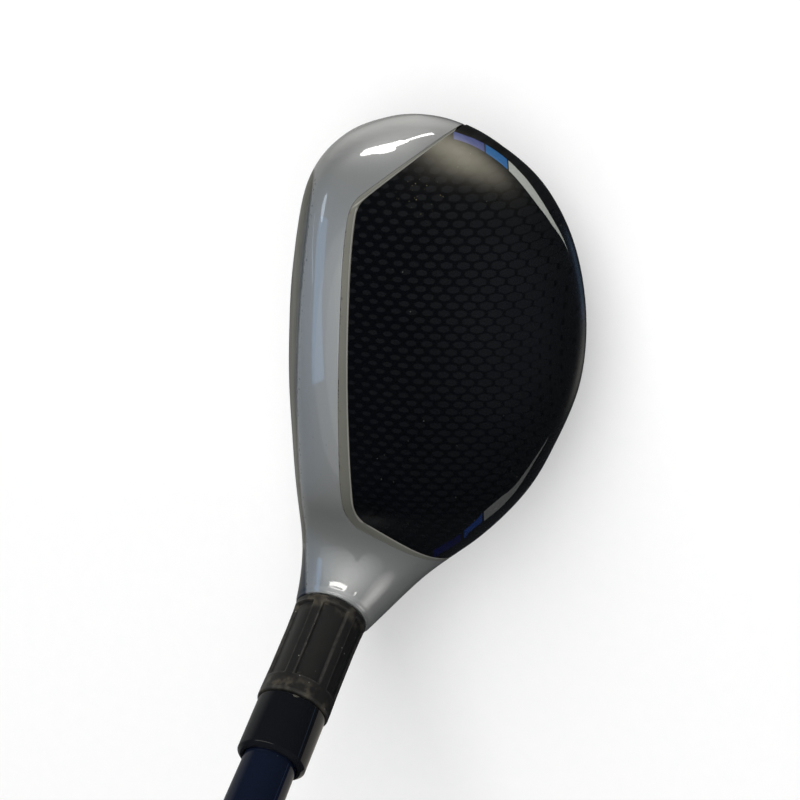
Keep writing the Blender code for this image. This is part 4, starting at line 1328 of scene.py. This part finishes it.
def place_lights():
    softbox("overhead", 0.0, 88.0, 2.0, 2.6, 1.6)
    softbox("toe_side", -95.0, 36.0, 1.8, 1.5, 5.2)

    toe = Reflections((-48.0, 7.0, 26.0), "body_fine")
    toe.card("lamp", (-0.865, -0.425, 0.27), (-0.93, -0.36, 0.08), 12.0, 24.0, WARM, True)
    toe.card("lamp_neck", (-0.92, -0.365, 0.12), (-0.955, -0.28, -0.08), 5.5, 24.0, WARM)
    toe.card("lamp_tail", (-0.95, -0.3, -0.03), (-0.93, -0.07, -0.36), 2.5, 24.0, WARM)

    front = Reflections((-20.0, -2.0, 35.0), "body_fine")
    front.card("window", (-0.25, -0.63, 0.72), (0.42, -0.565, 0.72), 11.0, 2.2, BLUE)
    front.card("window_top", (-0.46, -0.665, 0.58), (-0.21, -0.65, 0.72), 5.5, 6.0, PALE_BLUE, True)
    front.card("window_frame", (-0.2, -0.86, 0.46), (0.1, -0.74, 0.66), 1.3, 3.0, PALE_BLUE)

    hosel = Reflections((38.0, -2.0, 24.0), "body_fine")
    hosel.card("ceiling_lamp", (-0.18, -0.27, 0.945), (0.0, 0.25, 0.97), 5.0, 16.0, WARM)
    hosel.card("ceiling_spot", (0.2, 0.5, 0.84), (0.24, 0.55, 0.8), 2.5, 12.0, WARM, True)
    hosel.glow("rear_wall", (0.62, 0.68, 0.38), 18.0, 4.0, WARM)
    toe.glow("toe_floor", (-0.7, -0.3, -0.62), 36.0, 1.6, WARM)
    front.glow("sky", (0.1, -0.85, 0.5), 48.0, 0.5, BLUE)
    hosel.glow("ceiling", (0.2, 0.1, 0.95), 42.0, 2.8, (1.0, 1.0, 0.98))

    crown = Reflections((-46.0, 22.0, 22.0), "crown_fine")
    crown.glow("haze", (-0.96, 0.2, -0.07), 31.0, 12.0, (1.0, 0.93, 0.73))
    crown.card("rim_toe", (-0.02, 0.42, -0.9), (0.28, 0.42, -0.86), 4.5, 1.1, BLUE)
    crown.glow("rim_heel", (0.4, 0.33, -0.85), 11.0, 0.5, (1.0, 0.98, 0.9))

    shaft = Reflections((58.0, -4.0, 48.0), "ferrule_fine", "shaft_fine")
    shaft.card("floor_edge", (0.12, 0.77, -0.63), (0.75, -0.3, -0.6), 60.0, 0.68, (1.0, 0.93, 0.82))
    shaft.card("ferrule_rim", (-0.28, -0.71, 0.64), (-0.4, 0.14, 0.91), 18.0, 3.6, (1.0, 0.97, 0.9))
    shaft.card("wall_line", (0.11, 0.99, -0.34), (-0.35, 0.685, -0.72), 1.6, 1.2, BLUE)


# ---------------------------------------------------------------- assembly

def install(piece, body, node, graph):
    graph.dress(piece)
    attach(piece, body)
    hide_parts(node)


def dress_head(skin, rows):
    install(make_body(skin, rows), "head", "body_casting", paint_material())
    install(make_crown(rows), "head", "crown_panel", crown_material())
    lip = make_lip(skin, rows)
    lip_material().dress(lip)
    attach(lip, "head")
    install(make_face(skin), "head", "face_plate", steel_material(
        "brushed_face", (92, 90, 82), (150, 147, 138), (0.05, 1.0, 1.0), 0.32))
    install(make_weight(), "weight", "rear_weight", steel_material(
        "weight_steel", (120, 120, 122), (165, 165, 166), (1.0, 1.0, 1.0), 0.26))
    install(make_screw(), "screw", "sleeve_screw", steel_material(
        "screw_steel", (70, 70, 72), (105, 105, 108), (1.0, 1.0, 0.3), 0.3))


def dress_shaft():
    """The visible pieces that the shaft carries."""
    pieces = (
        (make_sleeve, "loft_sleeve", "sleeve_anodised", sleeve_material()),
        (make_ferrule, "ferrule", "ferrule_gloss",
         gloss_material("ferrule_gloss", (9, 10, 13), (16, 17, 20))),
        (make_shaft, "shaft", "shaft_navy",
         gloss_material("shaft_navy", (9, 13, 24), (14, 19, 33))),
        (make_grip, "grip", "grip_rubber",
         plastic_material("grip_rubber", (34, 34, 36), (46, 46, 48), 0.72, 0.35, 0.04)),
        (make_grip_cap, "grip_cap", "cap_rubber",
         plastic_material("cap_rubber", (26, 26, 28), (40, 40, 42), 0.6, 0.3, 0.03)),
    )
    for make, node, slot, graph in pieces:
        install(make(), "shaft_assembly", node, graph)


def dress_carried_nodes():
    """Materials for the CAD nodes that are already the right shape."""
    looks = {
        "slot_insert": ((20, 20, 22), (34, 34, 36), 0.6, 0.3, 0.03),
        "tip_plug": ((188, 172, 130), (214, 200, 160), 0.9, 0.8, 0.2),
        "grip_tape": ((196, 186, 150), (222, 214, 184), 0.8, 0.5, 0.05),
        "weight_washer": ((196, 192, 178), (216, 212, 198), 0.55, 0.4, 0.01),
        "screw_retainer": ((18, 18, 19), (30, 30, 31), 0.8, 0.3, 0.02),
    }
    for node, look in looks.items():
        plastic_material(f"{node}_look", *look).dress(frame["nodes"][node])
    steel_material("screw_washer_look", (130, 130, 130), (170, 170, 168), (1.0, 1.0, 1.0),
                   0.3).dress(frame["nodes"]["screw_washer"])


def main():
    place_camera()
    place_floor()
    place_world()
    rows = panel_curve()
    form = head_form("form")
    skin = Skin(form)
    bpy.data.objects.remove(form)
    dress_head(skin, rows)
    dress_shaft()
    dress_carried_nodes()
    place_lights()


main()
